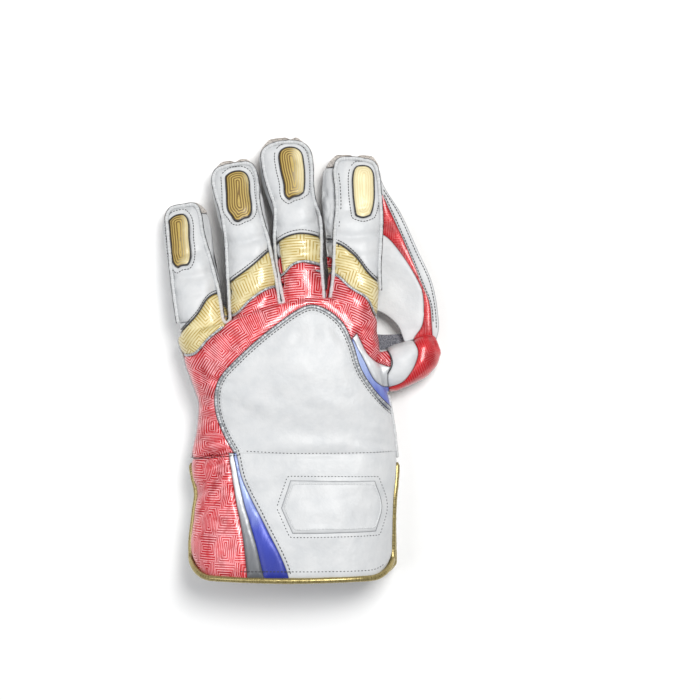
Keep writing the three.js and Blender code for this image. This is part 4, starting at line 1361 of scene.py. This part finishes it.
def dressed(mesh, tree, style, flat_at=None):
    """Rolls the rims of a piece's outer face down, lets the rest stand off, and keeps the rim distance."""
    points = points_of(mesh)
    count = len(points)
    flags = on_skin_faces(mesh, tree)
    normal = np.zeros((count, 3))
    on_face = np.zeros(count, dtype=bool)
    on_wall = np.zeros(count, dtype=bool)
    on_base = np.zeros(count, dtype=bool)
    for polygon, flag in zip(mesh.polygons, flags):
        corners = list(polygon.vertices)
        if flag:
            on_face[corners] = True
            normal[corners] += np.array(polygon.normal) * polygon.area
        elif polygon.center.z < BASE_HEIGHT * MM:
            on_base[corners] = True
        else:
            on_wall[corners] = True
    normal /= np.maximum(np.linalg.norm(normal, axis=1, keepdims=True), 1e-12)
    rim = on_face & on_wall & ~on_base
    if flat_at is not None:
        rim &= np.abs(points[:, 1] / MM - flat_at) > 0.6
    rim = np.flatnonzero(rim)
    distance = np.zeros(count)
    if len(rim):
        lookup = KDTree(len(rim))
        for i in rim:
            lookup.insert(points[i], int(i))
        lookup.balance()
        for i in np.flatnonzero(on_face):
            distance[i] = lookup.find(points[i])[2] / MM
    else:
        distance[on_face] = FAR_FROM_RIM
    near = np.clip(1 - distance / style["reach"], 0, 1)
    shift = -style["roll"] * near**2 + style["stand"] * ease(distance, 0.4, 2 * style["reach"])
    points[on_face] += normal[on_face] * shift[on_face, None] * MM
    set_points(mesh, points)
    keep(mesh, "rim", np.where(on_base & ~on_face, FAR_FROM_RIM, np.minimum(distance, FAR_FROM_RIM)))


ARCH_CENTRE = np.array([10, -20])
ARCH_RADIUS = 105


def set_flow(mesh, limb=None, arched=False):
    """Millimetres across and along the piece, or along the knuckles' arch, for the patterns and the grain."""
    points = points_of(mesh) / MM
    flow = limb.flow(points) if limb else points.copy()
    fall = np.percentile(flow[:, 2], 95) - flow[:, 2]
    flow[:, 0] += fall * np.tanh(flow[:, 0] / (8 if limb else 25))
    if limb:
        flow[:, 1] += fall * ease(flow[:, 1], 0.9 * limb.length, limb.length)
    if arched:
        away = points[:, :2] - ARCH_CENTRE
        reach = np.hypot(away[:, 0], away[:, 1])
        flow = np.column_stack([ARCH_RADIUS * np.arctan2(away[:, 0], away[:, 1]), reach, points[:, 2]])
    keep(mesh, "flow", flow)


def lined(mesh):
    """Gives the faces that look into the hollow the lining."""
    for polygon in mesh.polygons:
        if hollow_tree.find_nearest(polygon.center, ON_SKIN)[0] is not None:
            polygon.material_index = 1


def shown(name, mesh, slot, node=None, limb=None, filled=None, mark=1.0):
    """Puts a mesh in the scene as a piece of the glove."""
    if "flow" not in mesh.attributes:
        set_flow(mesh, limb)
    keep(mesh, "mark", np.full(len(mesh.vertices), mark))
    mesh.polygons.foreach_set("use_smooth", np.ones(len(mesh.polygons), dtype=bool))
    mesh.set_sharp_from_angle(angle=math.radians(48))
    mesh.materials.clear()
    mesh.materials.append(paint(slot))
    mesh.materials.append(paint("lining"))
    piece = linked(name, mesh)
    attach(piece, "root")
    if node:
        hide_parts(node)
    SLOTS.get(slot, slot)
    return piece


def draped(line, closed=False, step=1.2, low=9.0, lift=0.0, jump=5.0, steep=0.12, tree=None):
    """Runs of points of a plan line laid on the outer skin, each with the skin's normal."""
    line = np.array(line + [line[0]] if closed else line, dtype=float)
    lengths = walked_along(line)
    places = np.linspace(0, lengths[-1], max(2, int(lengths[-1] / step)))
    x = np.interp(places, lengths, line[:, 0])
    y = np.interp(places, lengths, line[:, 1])
    runs, run = [], []
    for px, py in zip(x, y):
        hit, normal, _, _ = (tree or outer_tree).ray_cast(Vector((px * MM, py * MM, 0.2)), Vector((0, 0, -1)))
        good = hit is not None and hit.z > low * MM and normal.z > steep
        if good and run and abs(hit.z / MM - run[-1][0][2]) > jump:
            good = False
        if good:
            point = np.array(hit) / MM
            run.append((point + np.array(normal) * lift, np.array(normal)))
        elif run:
            runs.append(run)
            run = []
    if run:
        runs.append(run)
    return [r for r in runs if len(r) > 3]


def edge_run(line, inward=2.2, drop=1.0):
    """A run along a finger's raw edge: it takes its height from the back just inside it."""
    line = np.array(line)
    inside = np.array(grown(line, -inward))
    lengths = walked_along(line)
    heights = np.full(len(line), np.nan)
    for i, (x, y) in enumerate(inside):
        hit = outer_tree.ray_cast(Vector((x * MM, y * MM, 0.2)), Vector((0, 0, -1)))[0]
        if hit is not None and hit.z > 9 * MM:
            heights[i] = hit.z / MM
    known = np.isfinite(heights)
    heights = np.interp(lengths, lengths[known], heights[known])
    soften(heights, 12)
    points = np.column_stack([line, heights - drop])
    return points, np.tile([0.0, 0.0, 1.0], (len(points), 1))


def eased_run(run, rounds=3):
    """A run of points with the small steps of the skin taken out."""
    points = np.array([p for p, _ in run])
    normals = np.array([n for _, n in run])
    soften(points, rounds)
    soften(normals, rounds)
    return points, unit(normals)


class Heap:
    """Vertices and faces of many small bodies that make one piece."""

    def __init__(self):
        self.vertices = []
        self.faces = []
        self.flow = []

    def add(self, vertices, faces, flow=None):
        start = sum(len(v) for v in self.vertices)
        self.vertices.append(np.asarray(vertices))
        self.faces += [[start + i for i in face] for face in faces]
        self.flow.append(np.asarray(vertices if flow is None else flow))

    def mesh(self):
        made = raw_mesh(np.vstack(self.vertices) * MM, self.faces)
        keep(made, "flow", np.vstack(self.flow))
        return made


def cord_on(heap, points, normals, radius, height=None, sides=8, wave=0.0):
    """A cord along points, with its flat side towards the skin; radius may vary along it."""
    points = np.asarray(points, dtype=float)
    ahead = unit(np.gradient(points, axis=0))
    side = unit(np.cross(ahead, normals))
    up = np.cross(side, ahead)
    count = len(points)
    walked = walked_along(points)
    taper = np.clip(np.minimum(walked, walked[-1] - walked) / radius, 0.25, 1) ** 0.5
    swing = 1 + wave * np.sin(walked / 1.1 + 2 * np.sin(walked / 7)) * np.sin(walked / 3.7)
    angle = 2 * math.pi * np.arange(sides) / sides
    vertices, flow = [], []
    for i in range(count):
        wide = radius * taper[i] * swing[i]
        tall = (height or radius) * taper[i] * swing[i]
        for a in angle:
            vertices.append(points[i] + side[i] * math.cos(a) * wide + up[i] * math.sin(a) * tall)
            flow.append((walked[i], a * radius, 0))
    faces = [list(range(sides))[::-1], [(count - 1) * sides + k for k in range(sides)]]
    for i in range(count - 1):
        for k in range(sides):
            n = (k + 1) % sides
            faces.append([i * sides + k, i * sides + n, (i + 1) * sides + n, (i + 1) * sides + k])
    heap.add(vertices, [face[::-1] for face in faces], flow)


def beside(points, out, down):
    """A run of points moved to the left of its way and down towards the skin."""
    ahead = np.gradient(points, axis=0)
    side = unit(np.column_stack([ahead[:, 1], -ahead[:, 0], np.zeros(len(points))]))
    return points - side * out - [0, 0, down]


def stitches_on(heap, runs, pitch=3.0, length=1.9, radius=0.32, lift=0.5):
    """Small stitches along runs, each a bowed bead of thread that dips at its ends."""
    sides = 6
    for run in runs:
        points, normals = eased_run(run, 2)
        walked = walked_along(points)
        for start in np.arange(pitch / 2, walked[-1] - length, pitch):
            places = start + length * np.linspace(0, 1, 5)
            centre = at_places(places, walked, points)
            normal = at_places(places, walked, normals)
            bow = np.sin(np.linspace(0.15, math.pi - 0.15, 5))
            centre += normal * (lift * bow)[:, None]
            ahead = centre[-1] - centre[0]
            ahead /= np.linalg.norm(ahead)
            side = np.cross(ahead, normal[2])
            vertices = []
            for j in range(5):
                for k in range(sides):
                    a = 2 * math.pi * k / sides
                    thick = radius * (0.55 + 0.45 * bow[j])
                    vertices.append(centre[j] + (side * math.cos(a) + normal[j] * math.sin(a)) * thick)
            faces = [list(range(sides)), [4 * sides + k for k in range(sides)][::-1]]
            for j in range(4):
                for k in range(sides):
                    n = (k + 1) % sides
                    faces.append([j * sides + k, (j + 1) * sides + k, (j + 1) * sides + n, j * sides + n])
            heap.add(vertices, faces)


STYLES = {
    "white_leather": LEATHER,
    "red_foil": BAND,
    "gold_foil": BAND,
    "gold_guard": GUARD,
    "silver_foil": FOIL,
    "blue_foil": FOIL,
    "palm_rubber": RUBBER,
}
PIECE_SLOTS = {
    "thumb_rubber": "palm_rubber",
    "thumb_band": "red_foil",
    "thumb_back": "white_leather",
    "back_panel": "white_leather",
    "cuff_panel": "white_leather",
    "cuff_blue": "blue_foil",
    "cuff_silver": "silver_foil",
    "cuff_red": "red_foil",
    "side_blue": "blue_foil",
    "side_silver": "silver_foil",
    "knuckle_band": "red_foil",
    "palm_cuff": "white_leather",
    "hand_side_left": "white_leather",
    "hand_side_right": "white_leather",
    "palm_rubber": "palm_rubber",
}
PADDED = {"back_panel": 0.7, "knuckle_band": 0.8, "cuff_panel": 0.7, "cuff_red": 0.6, "thumb_back": 0.7}
for name in FINGERS:
    PIECE_SLOTS[name + "_guard"] = "gold_guard"
    PIECE_SLOTS[name + "_band"] = "gold_foil"
    PIECE_SLOTS[name + "_back"] = "white_leather"
    PIECE_SLOTS[name + "_palm"] = "palm_rubber"
    PIECE_SLOTS[name + "_gusset_left"] = "white_leather"
    PIECE_SLOTS[name + "_gusset_right"] = "white_leather"
    PADDED[name + "_back"] = 0.8
    PADDED[name + "_band"] = 0.8

WRIST_SEAM = WRIST_Y + BACK_SEAM_LINE * HAND_LENGTH
# The printed pattern of these pieces runs along the arch of the knuckles
ARCHED = ("knuckle_band", *[name + "_band" for name in FINGERS])
# How strong the print of a foil piece is, and how much of a guard lies in painted shade
MARKS = {
    "thumb_band": 0.15,
    "little_guard": -0.2,
    "ring_guard": 1.7,
    "middle_guard": 0.8,
    "index_guard": -0.3,
}
# How far the painted highlight and dark band of the side strips' foil are moved along them, in millimetres
SIDE_HIGHLIGHT_SHIFT = -88


def moved_flow(mesh, amount):
    """Moves a piece's pattern along it, in millimetres."""
    flow = mesh.attributes["flow"].data
    values = np.empty(len(mesh.vertices) * 3)
    flow.foreach_get("vector", values)
    values[1::3] += amount
    flow.foreach_set("vector", values)


def palm_shift(points):
    """The palm flap lies a little askew under the back flap; millimetres."""
    share = ease(-points[:, 1], 55, 125) * ease(points[:, 0], -20, 70)
    return share[:, None] * np.array([2.6, -4.2, 0])


def slid(mesh):
    points = points_of(mesh) / MM
    set_points(mesh, (points + palm_shift(points)) * MM)


for name, mesh in pieces.items():
    slot = PIECE_SLOTS[name]
    limb = limbs.get(name.split("_")[0])
    if name.startswith("thumb"):
        limb = thumb_limb
    flat_at = WRIST_SEAM if name in ("back_panel", "cuff_panel") else None
    dressed(mesh, outer_tree, STYLES[slot], flat_at)
    if name == "palm_cuff":
        slid(mesh)
    set_flow(mesh, limb, name in ARCHED)
    # Moves the painted highlight and dark band of the foil onto the side strips
    if name.startswith("side_"):
        moved_flow(mesh, SIDE_HIGHLIGHT_SHIFT)
    lined(mesh)
    shown("look_" + name, mesh, slot, name, limb, PADDED.get(name), MARKS.get(name, 1.0))

# The patch: a raised plate over the cuff panel
PATCH_LOW, PATCH_HIGH = 0.3, 2.0


def lifted_skin(amount):
    copy = outer.copy()
    set_points(copy, points_of(copy) + normals_of(outer) * amount * MM)
    return copy


patch_shape = curved(hand_points(PATCH), corner=40)
patch_top = lifted_skin(PATCH_HIGH)
patch_tree = tree_of(patch_top)
patch = combined(patch_top, prism(patch_shape, slit_middle, FAR), "INTERSECT")
patch = main_island(combined(patch, lifted_skin(PATCH_LOW), "DIFFERENCE"))
dressed(patch, patch_tree, {"roll": 1.2, "reach": 2.2, "stand": 0.4})
shown("look_cuff_patch", patch, "white_leather", "cuff_patch")


# Piping round the free edges of the two flaps
def row_at(y):
    return [y] + [float(np.interp(y, body_table[:, 0], body_table[:, i])) for i in range(1, 5)]


def edge_point(angle, y, way):
    along = MOUTH_Y if y is None else y
    inward = (-SIDE_WALL / 2,) * 3
    for _ in range(4):
        row = row_at(max(MOUTH_Y, along))
        side, height = section(row, inward, np.array([angle]))
        if y is None:
            along = corner_line(float(side[0]))
    return np.array([float(side[0]), along, max(float(height[0]), PALM_WALL / 2 if way < 0 else 0)])


def slit_angle(y, way):
    row = row_at(y)
    middle = row[3] + BACK_SEAM * (row[4] - row[3])
    reach = row[4] - middle if way > 0 else middle - row[3]
    share = min(0.9, max(0.02, (slit_edge(y, way) - middle) / (way * reach)))
    return way * math.asin(share ** (BOXINESS / 2))


def piping_path(way):
    corner_y = MOUTH_Y + CUFF_CORNER
    sides = []
    for turned in (False, True):
        line = []
        for y in np.linspace(WRIST_Y - PIPING_DIAMETER, corner_y + 1, 30):
            angle = slit_angle(y, way)
            line.append(edge_point(math.pi - angle if turned else angle, y, way))
        sides.append(line)
    start = slit_angle(corner_y, way)
    arch = [edge_point(angle, None, way) for angle in np.linspace(start, way * math.pi - start, 150)]
    return np.array(sides[0] + arch + sides[1][::-1])


for name, way in (("back_piping", 1), ("palm_piping", -1)):
    path = piping_path(way)
    soften(path, 4)
    lengths = walked_along(path)
    places = np.arange(0, lengths[-1], 0.9)
    path = at_places(places, lengths, path)
    back = np.minimum(0, path[:, 1] - (MOUTH_Y + 30))
    out = unit(np.column_stack([path[:, 0] * 1.1, back, np.zeros(len(path))]))
    path += out * (1.6 if way > 0 else 0.6)
    if way < 0:
        path += palm_shift(path)
    away = unit(path - np.array([0, MOUTH_Y / 2, slit_middle]))
    heap = Heap()
    cord_on(heap, path, away, PIPING_DIAMETER / 2 + 0.45, sides=16, wave=0.03)
    shown("look_" + name, heap.mesh(), "gold_piping", name)


# Web: sagging sheets between the index finger and the thumb
def sheet(drop, thickness, step=1.6):
    x0, y0 = hand_point((0.3, 0.5))
    x1, y1 = hand_point((0.8, 2.0))
    nx, ny = int((x1 - x0) / step), int((y1 - y0) / step)
    gx, gy = np.meshgrid(np.linspace(x0, x1, nx + 1), np.linspace(y0, y1, ny + 1))
    out = ((gx - x0) / (x1 - x0) - 0.5) * 2
    up = ((gy - y0) / (y1 - y0) - 0.45) * 2
    level = WEB_HEIGHT - drop - WEB_SAG * np.exp(-2 * (out**2 + up**2))
    level = level + 0.5 * np.sin(gx / 6 + gy / 11) * np.sin(gy / 8)
    top = np.column_stack([gx.ravel(), gy.ravel(), level.ravel()])
    under = top - [0, 0, thickness]
    size = len(top)
    faces = []
    for j in range(ny):
        for i in range(nx):
            a = j * (nx + 1) + i
            quad = [a, a + 1, a + nx + 2, a + nx + 1]
            faces += [quad, [size + k for k in quad[::-1]]]
    rim = list(range(nx + 1)) + [(j + 1) * (nx + 1) - 1 for j in range(1, ny + 1)]
    rim += [ny * (nx + 1) + i for i in range(nx - 1, -1, -1)]
    rim += [j * (nx + 1) for j in range(ny - 1, 0, -1)]
    for a, b in zip(rim, rim[1:] + rim[:1]):
        faces.append([b, a, size + a, size + b])
    return raw_mesh(np.vstack([top, under]) * MM, faces)


web_shape = curved(hand_points(WEB))
web_tree = tree_of(sheet(0, WEB_LEATHER))
stripe_shape = curved(hand_points(WEB_STRIPE))
inside_shape = curved(hand_points(WEB_INSIDE))
knit_shape = curved(hand_points(KNIT))
in_web = (web_shape, "INTERSECT")
web_blocks = {
    "web_rubber": (WEB_LEATHER + 0.1, WEB_RUBBER, [in_web]),
    "web_stripe": (0, WEB_LEATHER, [in_web, (stripe_shape, "INTERSECT")]),
    "web_leather": (0, WEB_LEATHER, [in_web, (stripe_shape, "DIFFERENCE"), (inside_shape, "INTERSECT")]),
    "web_border": (0, WEB_LEATHER, [in_web, (stripe_shape, "DIFFERENCE"), (inside_shape, "DIFFERENCE")]),
    "web_knit": (WEB_LEATHER + WEB_RUBBER + KNIT_DROP, WEB_LEATHER, [(knit_shape, "INTERSECT")]),
}
WEB_SLOTS = {"web_rubber": "palm_rubber", "web_stripe": "red_foil", "web_knit": "grey_knit"}
for name, (drop, thickness, cuts) in web_blocks.items():
    mesh = sheet(drop, thickness)
    for shape, how in cuts:
        mesh = combined(mesh, prism(shape, -FAR, FAR), how)
    mesh = main_island(combined(mesh, outer.copy(), "DIFFERENCE"))
    slot = WEB_SLOTS.get(name, "white_leather")
    if slot in STYLES:
        dressed(mesh, web_tree, {"roll": 0.6, "reach": 1.8, "stand": 0.1})
    shown("look_" + name, mesh, slot, name, mark=0.15)

# Seams, raw edges and threads
heaps = {kind: Heap() for kind in ("silver_cord", "white_cord", "dark_cord", "dark_thread", "white_thread")}


def cords(kind, line, radius, closed=False, lift=0.0, height=None, wave=0.0, edge=None, **settings):
    for run in draped(line, closed, lift=lift, **settings):
        points, normals = eased_run(run)
        cord_on(heaps[kind], points, normals, radius, height, wave=wave)
        if edge:
            cord_on(heaps["dark_cord"], beside(points, edge, 0.7), normals, 0.42)


def stitch(kind, line, closed=False, pitch=3.0, **settings):
    stitches_on(heaps[kind], draped(line, closed, **settings), pitch)


# The raw edge's half width and height, and the dark cord beside its foot that paints its shadow
EDGE_WIDTH, EDGE_HEIGHT, EDGE_WAVE = 1.3, 1.7, 0.14
SHADOW_OUT, SHADOW_DOWN, SHADOW_RADIUS = 1.35, 0.6, 0.4
UP = [0.0, 0.0, 1.0]
ends = {}
for name, finger in FINGERS.items():
    limb = limbs[name]
    ridge = ridge_lines[name]
    guard = curved(GUARDS[name], corner=50, step=1.5)
    band = [limb.at(*point) for point in finger["band"]]
    points, normals = edge_run(ridge)
    cord_on(heaps["white_cord"], points, normals, EDGE_WIDTH, EDGE_HEIGHT, wave=EDGE_WAVE)
    # Painted shadow: a dark cord beside each raw edge stands in for the shadow at its foot
    cord_on(heaps["dark_cord"], beside(points, SHADOW_OUT, SHADOW_DOWN), normals, SHADOW_RADIUS)
    ends[name] = (points[:4], points[-4:])
    stitch("dark_thread", grown(ridge, -2.8)[2:-2], False, 2.6, low=12.8, steep=0.93)
    stitch("dark_thread", grown(guard, 3.2), True, 2.2, low=12.8)
    cords("dark_cord", guard, 0.45, True, low=12.8)
    count = BAND_TOPS[name]
    top, bottom = curved(band[:count], closed=False), curved(band[count:], closed=False)
    cords("dark_cord", top, 0.6, lift=0.1, low=24)
    above = curved([limb.at(a, b + 0.02) for a, b in finger["band"][:count]], closed=False)
    stitch("dark_thread", above, pitch=2.2, low=24)
    cords("silver_cord", bottom, 0.9, lift=0.2, height=0.5, low=24)

centre = curved(hand_points(CENTRE_LEFT + CENTRE_RIGHT), closed=False)
cords("silver_cord", centre, 1.15, lift=0.3, low=20, edge=1.2)
for first, second in (("little", "ring"), ("ring", "middle"), ("middle", "index")):
    a, b = ends[first][1], ends[second][0]
    share = np.linspace(0, 1, 15)[:, None]
    turn = a[-1] + (b[0] - a[-1]) * share + np.sin(math.pi * share) * [0, -3.0, 1.6]
    turn = np.vstack([a[:-1], turn, b[1:]])
    cord_on(heaps["white_cord"], turn, np.tile(UP, (len(turn), 1)), EDGE_WIDTH, EDGE_HEIGHT)
crescent = curved([[69.4, 36.5], [72.3, 31.4], [73, 25.6], [69.4, 19]], closed=False)
cords("dark_cord", crescent, 0.45, low=6)


def side_line(way, start, end):
    """Points along the widest edge of the hand, on the left (-1) or the right (1)."""
    line = []
    for y in np.linspace(start, end, 70):
        row = row_at(y)
        height = row[3] + 0.5 * (row[4] - row[3])
        hit = outer_tree.ray_cast(Vector((way * 0.2, y * MM, height * MM)), Vector((-way, 0, 0)))[0]
        line.append([hit.x / MM, y, height])
    line = np.array(line)
    soften(line, 3)
    return line + [0.9 * way, 0, 0]


for way, start, end in ((-1, -42, 44), (1, -42, 4)):
    line = side_line(way, start, end)
    cord_on(heaps["white_cord"], line, np.tile([0.7 * way, 0, 0.7], (len(line), 1)), 1.1, wave=0.1)
web_edge = curved(grown(hand_points(WEB), -1.6)[2:8], closed=False)
stitch("dark_thread", web_edge, pitch=2.4, tree=web_tree, low=5)
stripe_edge = curved(grown(hand_points(WEB_STRIPE), 1.2)[1:7], closed=False)
stitch("dark_thread", stripe_edge, pitch=2.4, tree=web_tree, low=5)
cuff_side = [[-0.27, BACK_SEAM_LINE], [-0.24, -0.16], [-0.14, -0.5], [-0.02, -0.92], [-0.01, -1.0]]
cuff_left = curved(hand_points(cuff_side), closed=False)
whole_left = cuff_left[::-1] + centre[1:]
closed_left = whole_left + [[200, 60], [200, -140]]
inner_line = grown(closed_left, -2.4)[: len(whole_left)]
stitch("dark_thread", inner_line, pitch=2.7, low=18)
far_line = grown(closed_left, -4.6)[: len(whole_left)]
stitch("white_thread", far_line, pitch=2.7, low=18)
stitch("dark_thread", [[-33, -35.5], [0, -37], [40, -37], [72, -36.5]], pitch=2.6, low=18)
stitch("dark_thread", [[-77, -42], [-60, -41], [-34, -38]], pitch=2.6, low=16)
stitch("dark_thread", curved(grown(hand_points(PATCH), 3.0), corner=40), True, 2.4, low=18)
patch_line = curved(grown(hand_points(PATCH), -2.4), corner=40)
for run in draped(patch_line, True, lift=PATCH_HIGH + 0.2):
    points, normals = eased_run(run)
    cord_on(heaps["white_cord"], points, normals, 0.55)
mouth_line = [[x, corner_line(x) + 5.0] for x in np.linspace(-64, 66, 60)]
stitch("dark_thread", mouth_line, pitch=2.6, low=18)
for kind, heap in heaps.items():
    if heap.vertices:
        shown("detail_" + kind, heap.mesh(), kind)


# Floor, lights and camera
FIELD = 0.511
LENS = 85
SENSOR = 36
VIEW_X = 0.0423
VIEW_Y = 0.0365
VIEW_Z = 0.025


def flat_material(name, colour, roughness):
    material = bpy.data.materials.new(name)
    material.use_nodes = True
    surface = material.node_tree.nodes["Principled BSDF"]
    surface.inputs["Base Color"].default_value = colour
    surface.inputs["Roughness"].default_value = roughness
    return material


floor_mesh = bpy.data.meshes.new("floor")
floor_mesh.from_pydata([(-3, -3, 0), (3, -3, 0), (3, 3, 0), (-3, 3, 0)], [], [(0, 1, 2, 3)])
floor = linked("floor", floor_mesh)
floor.location.z = -0.0002
floor_mesh.materials.append(flat_material("floor", linear(255, 255, 255), 0.9))

world = bpy.data.worlds.new("studio")
world.use_nodes = True
world.node_tree.nodes["Background"].inputs["Color"].default_value = (0.97, 0.98, 1.0, 1)
world.node_tree.nodes["Background"].inputs["Strength"].default_value = 0.34
bpy.context.scene.world = world


def lamp(name, place, size, power, colour):
    light = bpy.data.lights.new(name, "AREA")
    light.shape = "RECTANGLE"
    light.size, light.size_y = size
    light.energy = power
    light.color = colour
    made = linked(name, light)
    made.location = place
    made.rotation_euler = (Vector((0, 0, 0.02)) - Vector(place)).to_track_quat("-Z", "Y").to_euler()


lamp("key", (0.35, 0.45, 1.3), (0.5, 0.5), 14.5, (1.0, 0.995, 0.98))
lamp("fill", (-0.7, -0.1, 1.0), (0.6, 0.9), 4.0, (0.96, 0.98, 1.0))
bpy.context.scene.view_settings.view_transform = "Standard"

camera_data = bpy.data.cameras.new("camera")
camera_data.lens = LENS
camera_data.sensor_width = SENSOR
camera = linked("camera", camera_data)
camera.location = (VIEW_X, VIEW_Y, VIEW_Z + FIELD * LENS / SENSOR)
bpy.context.scene.camera = camera
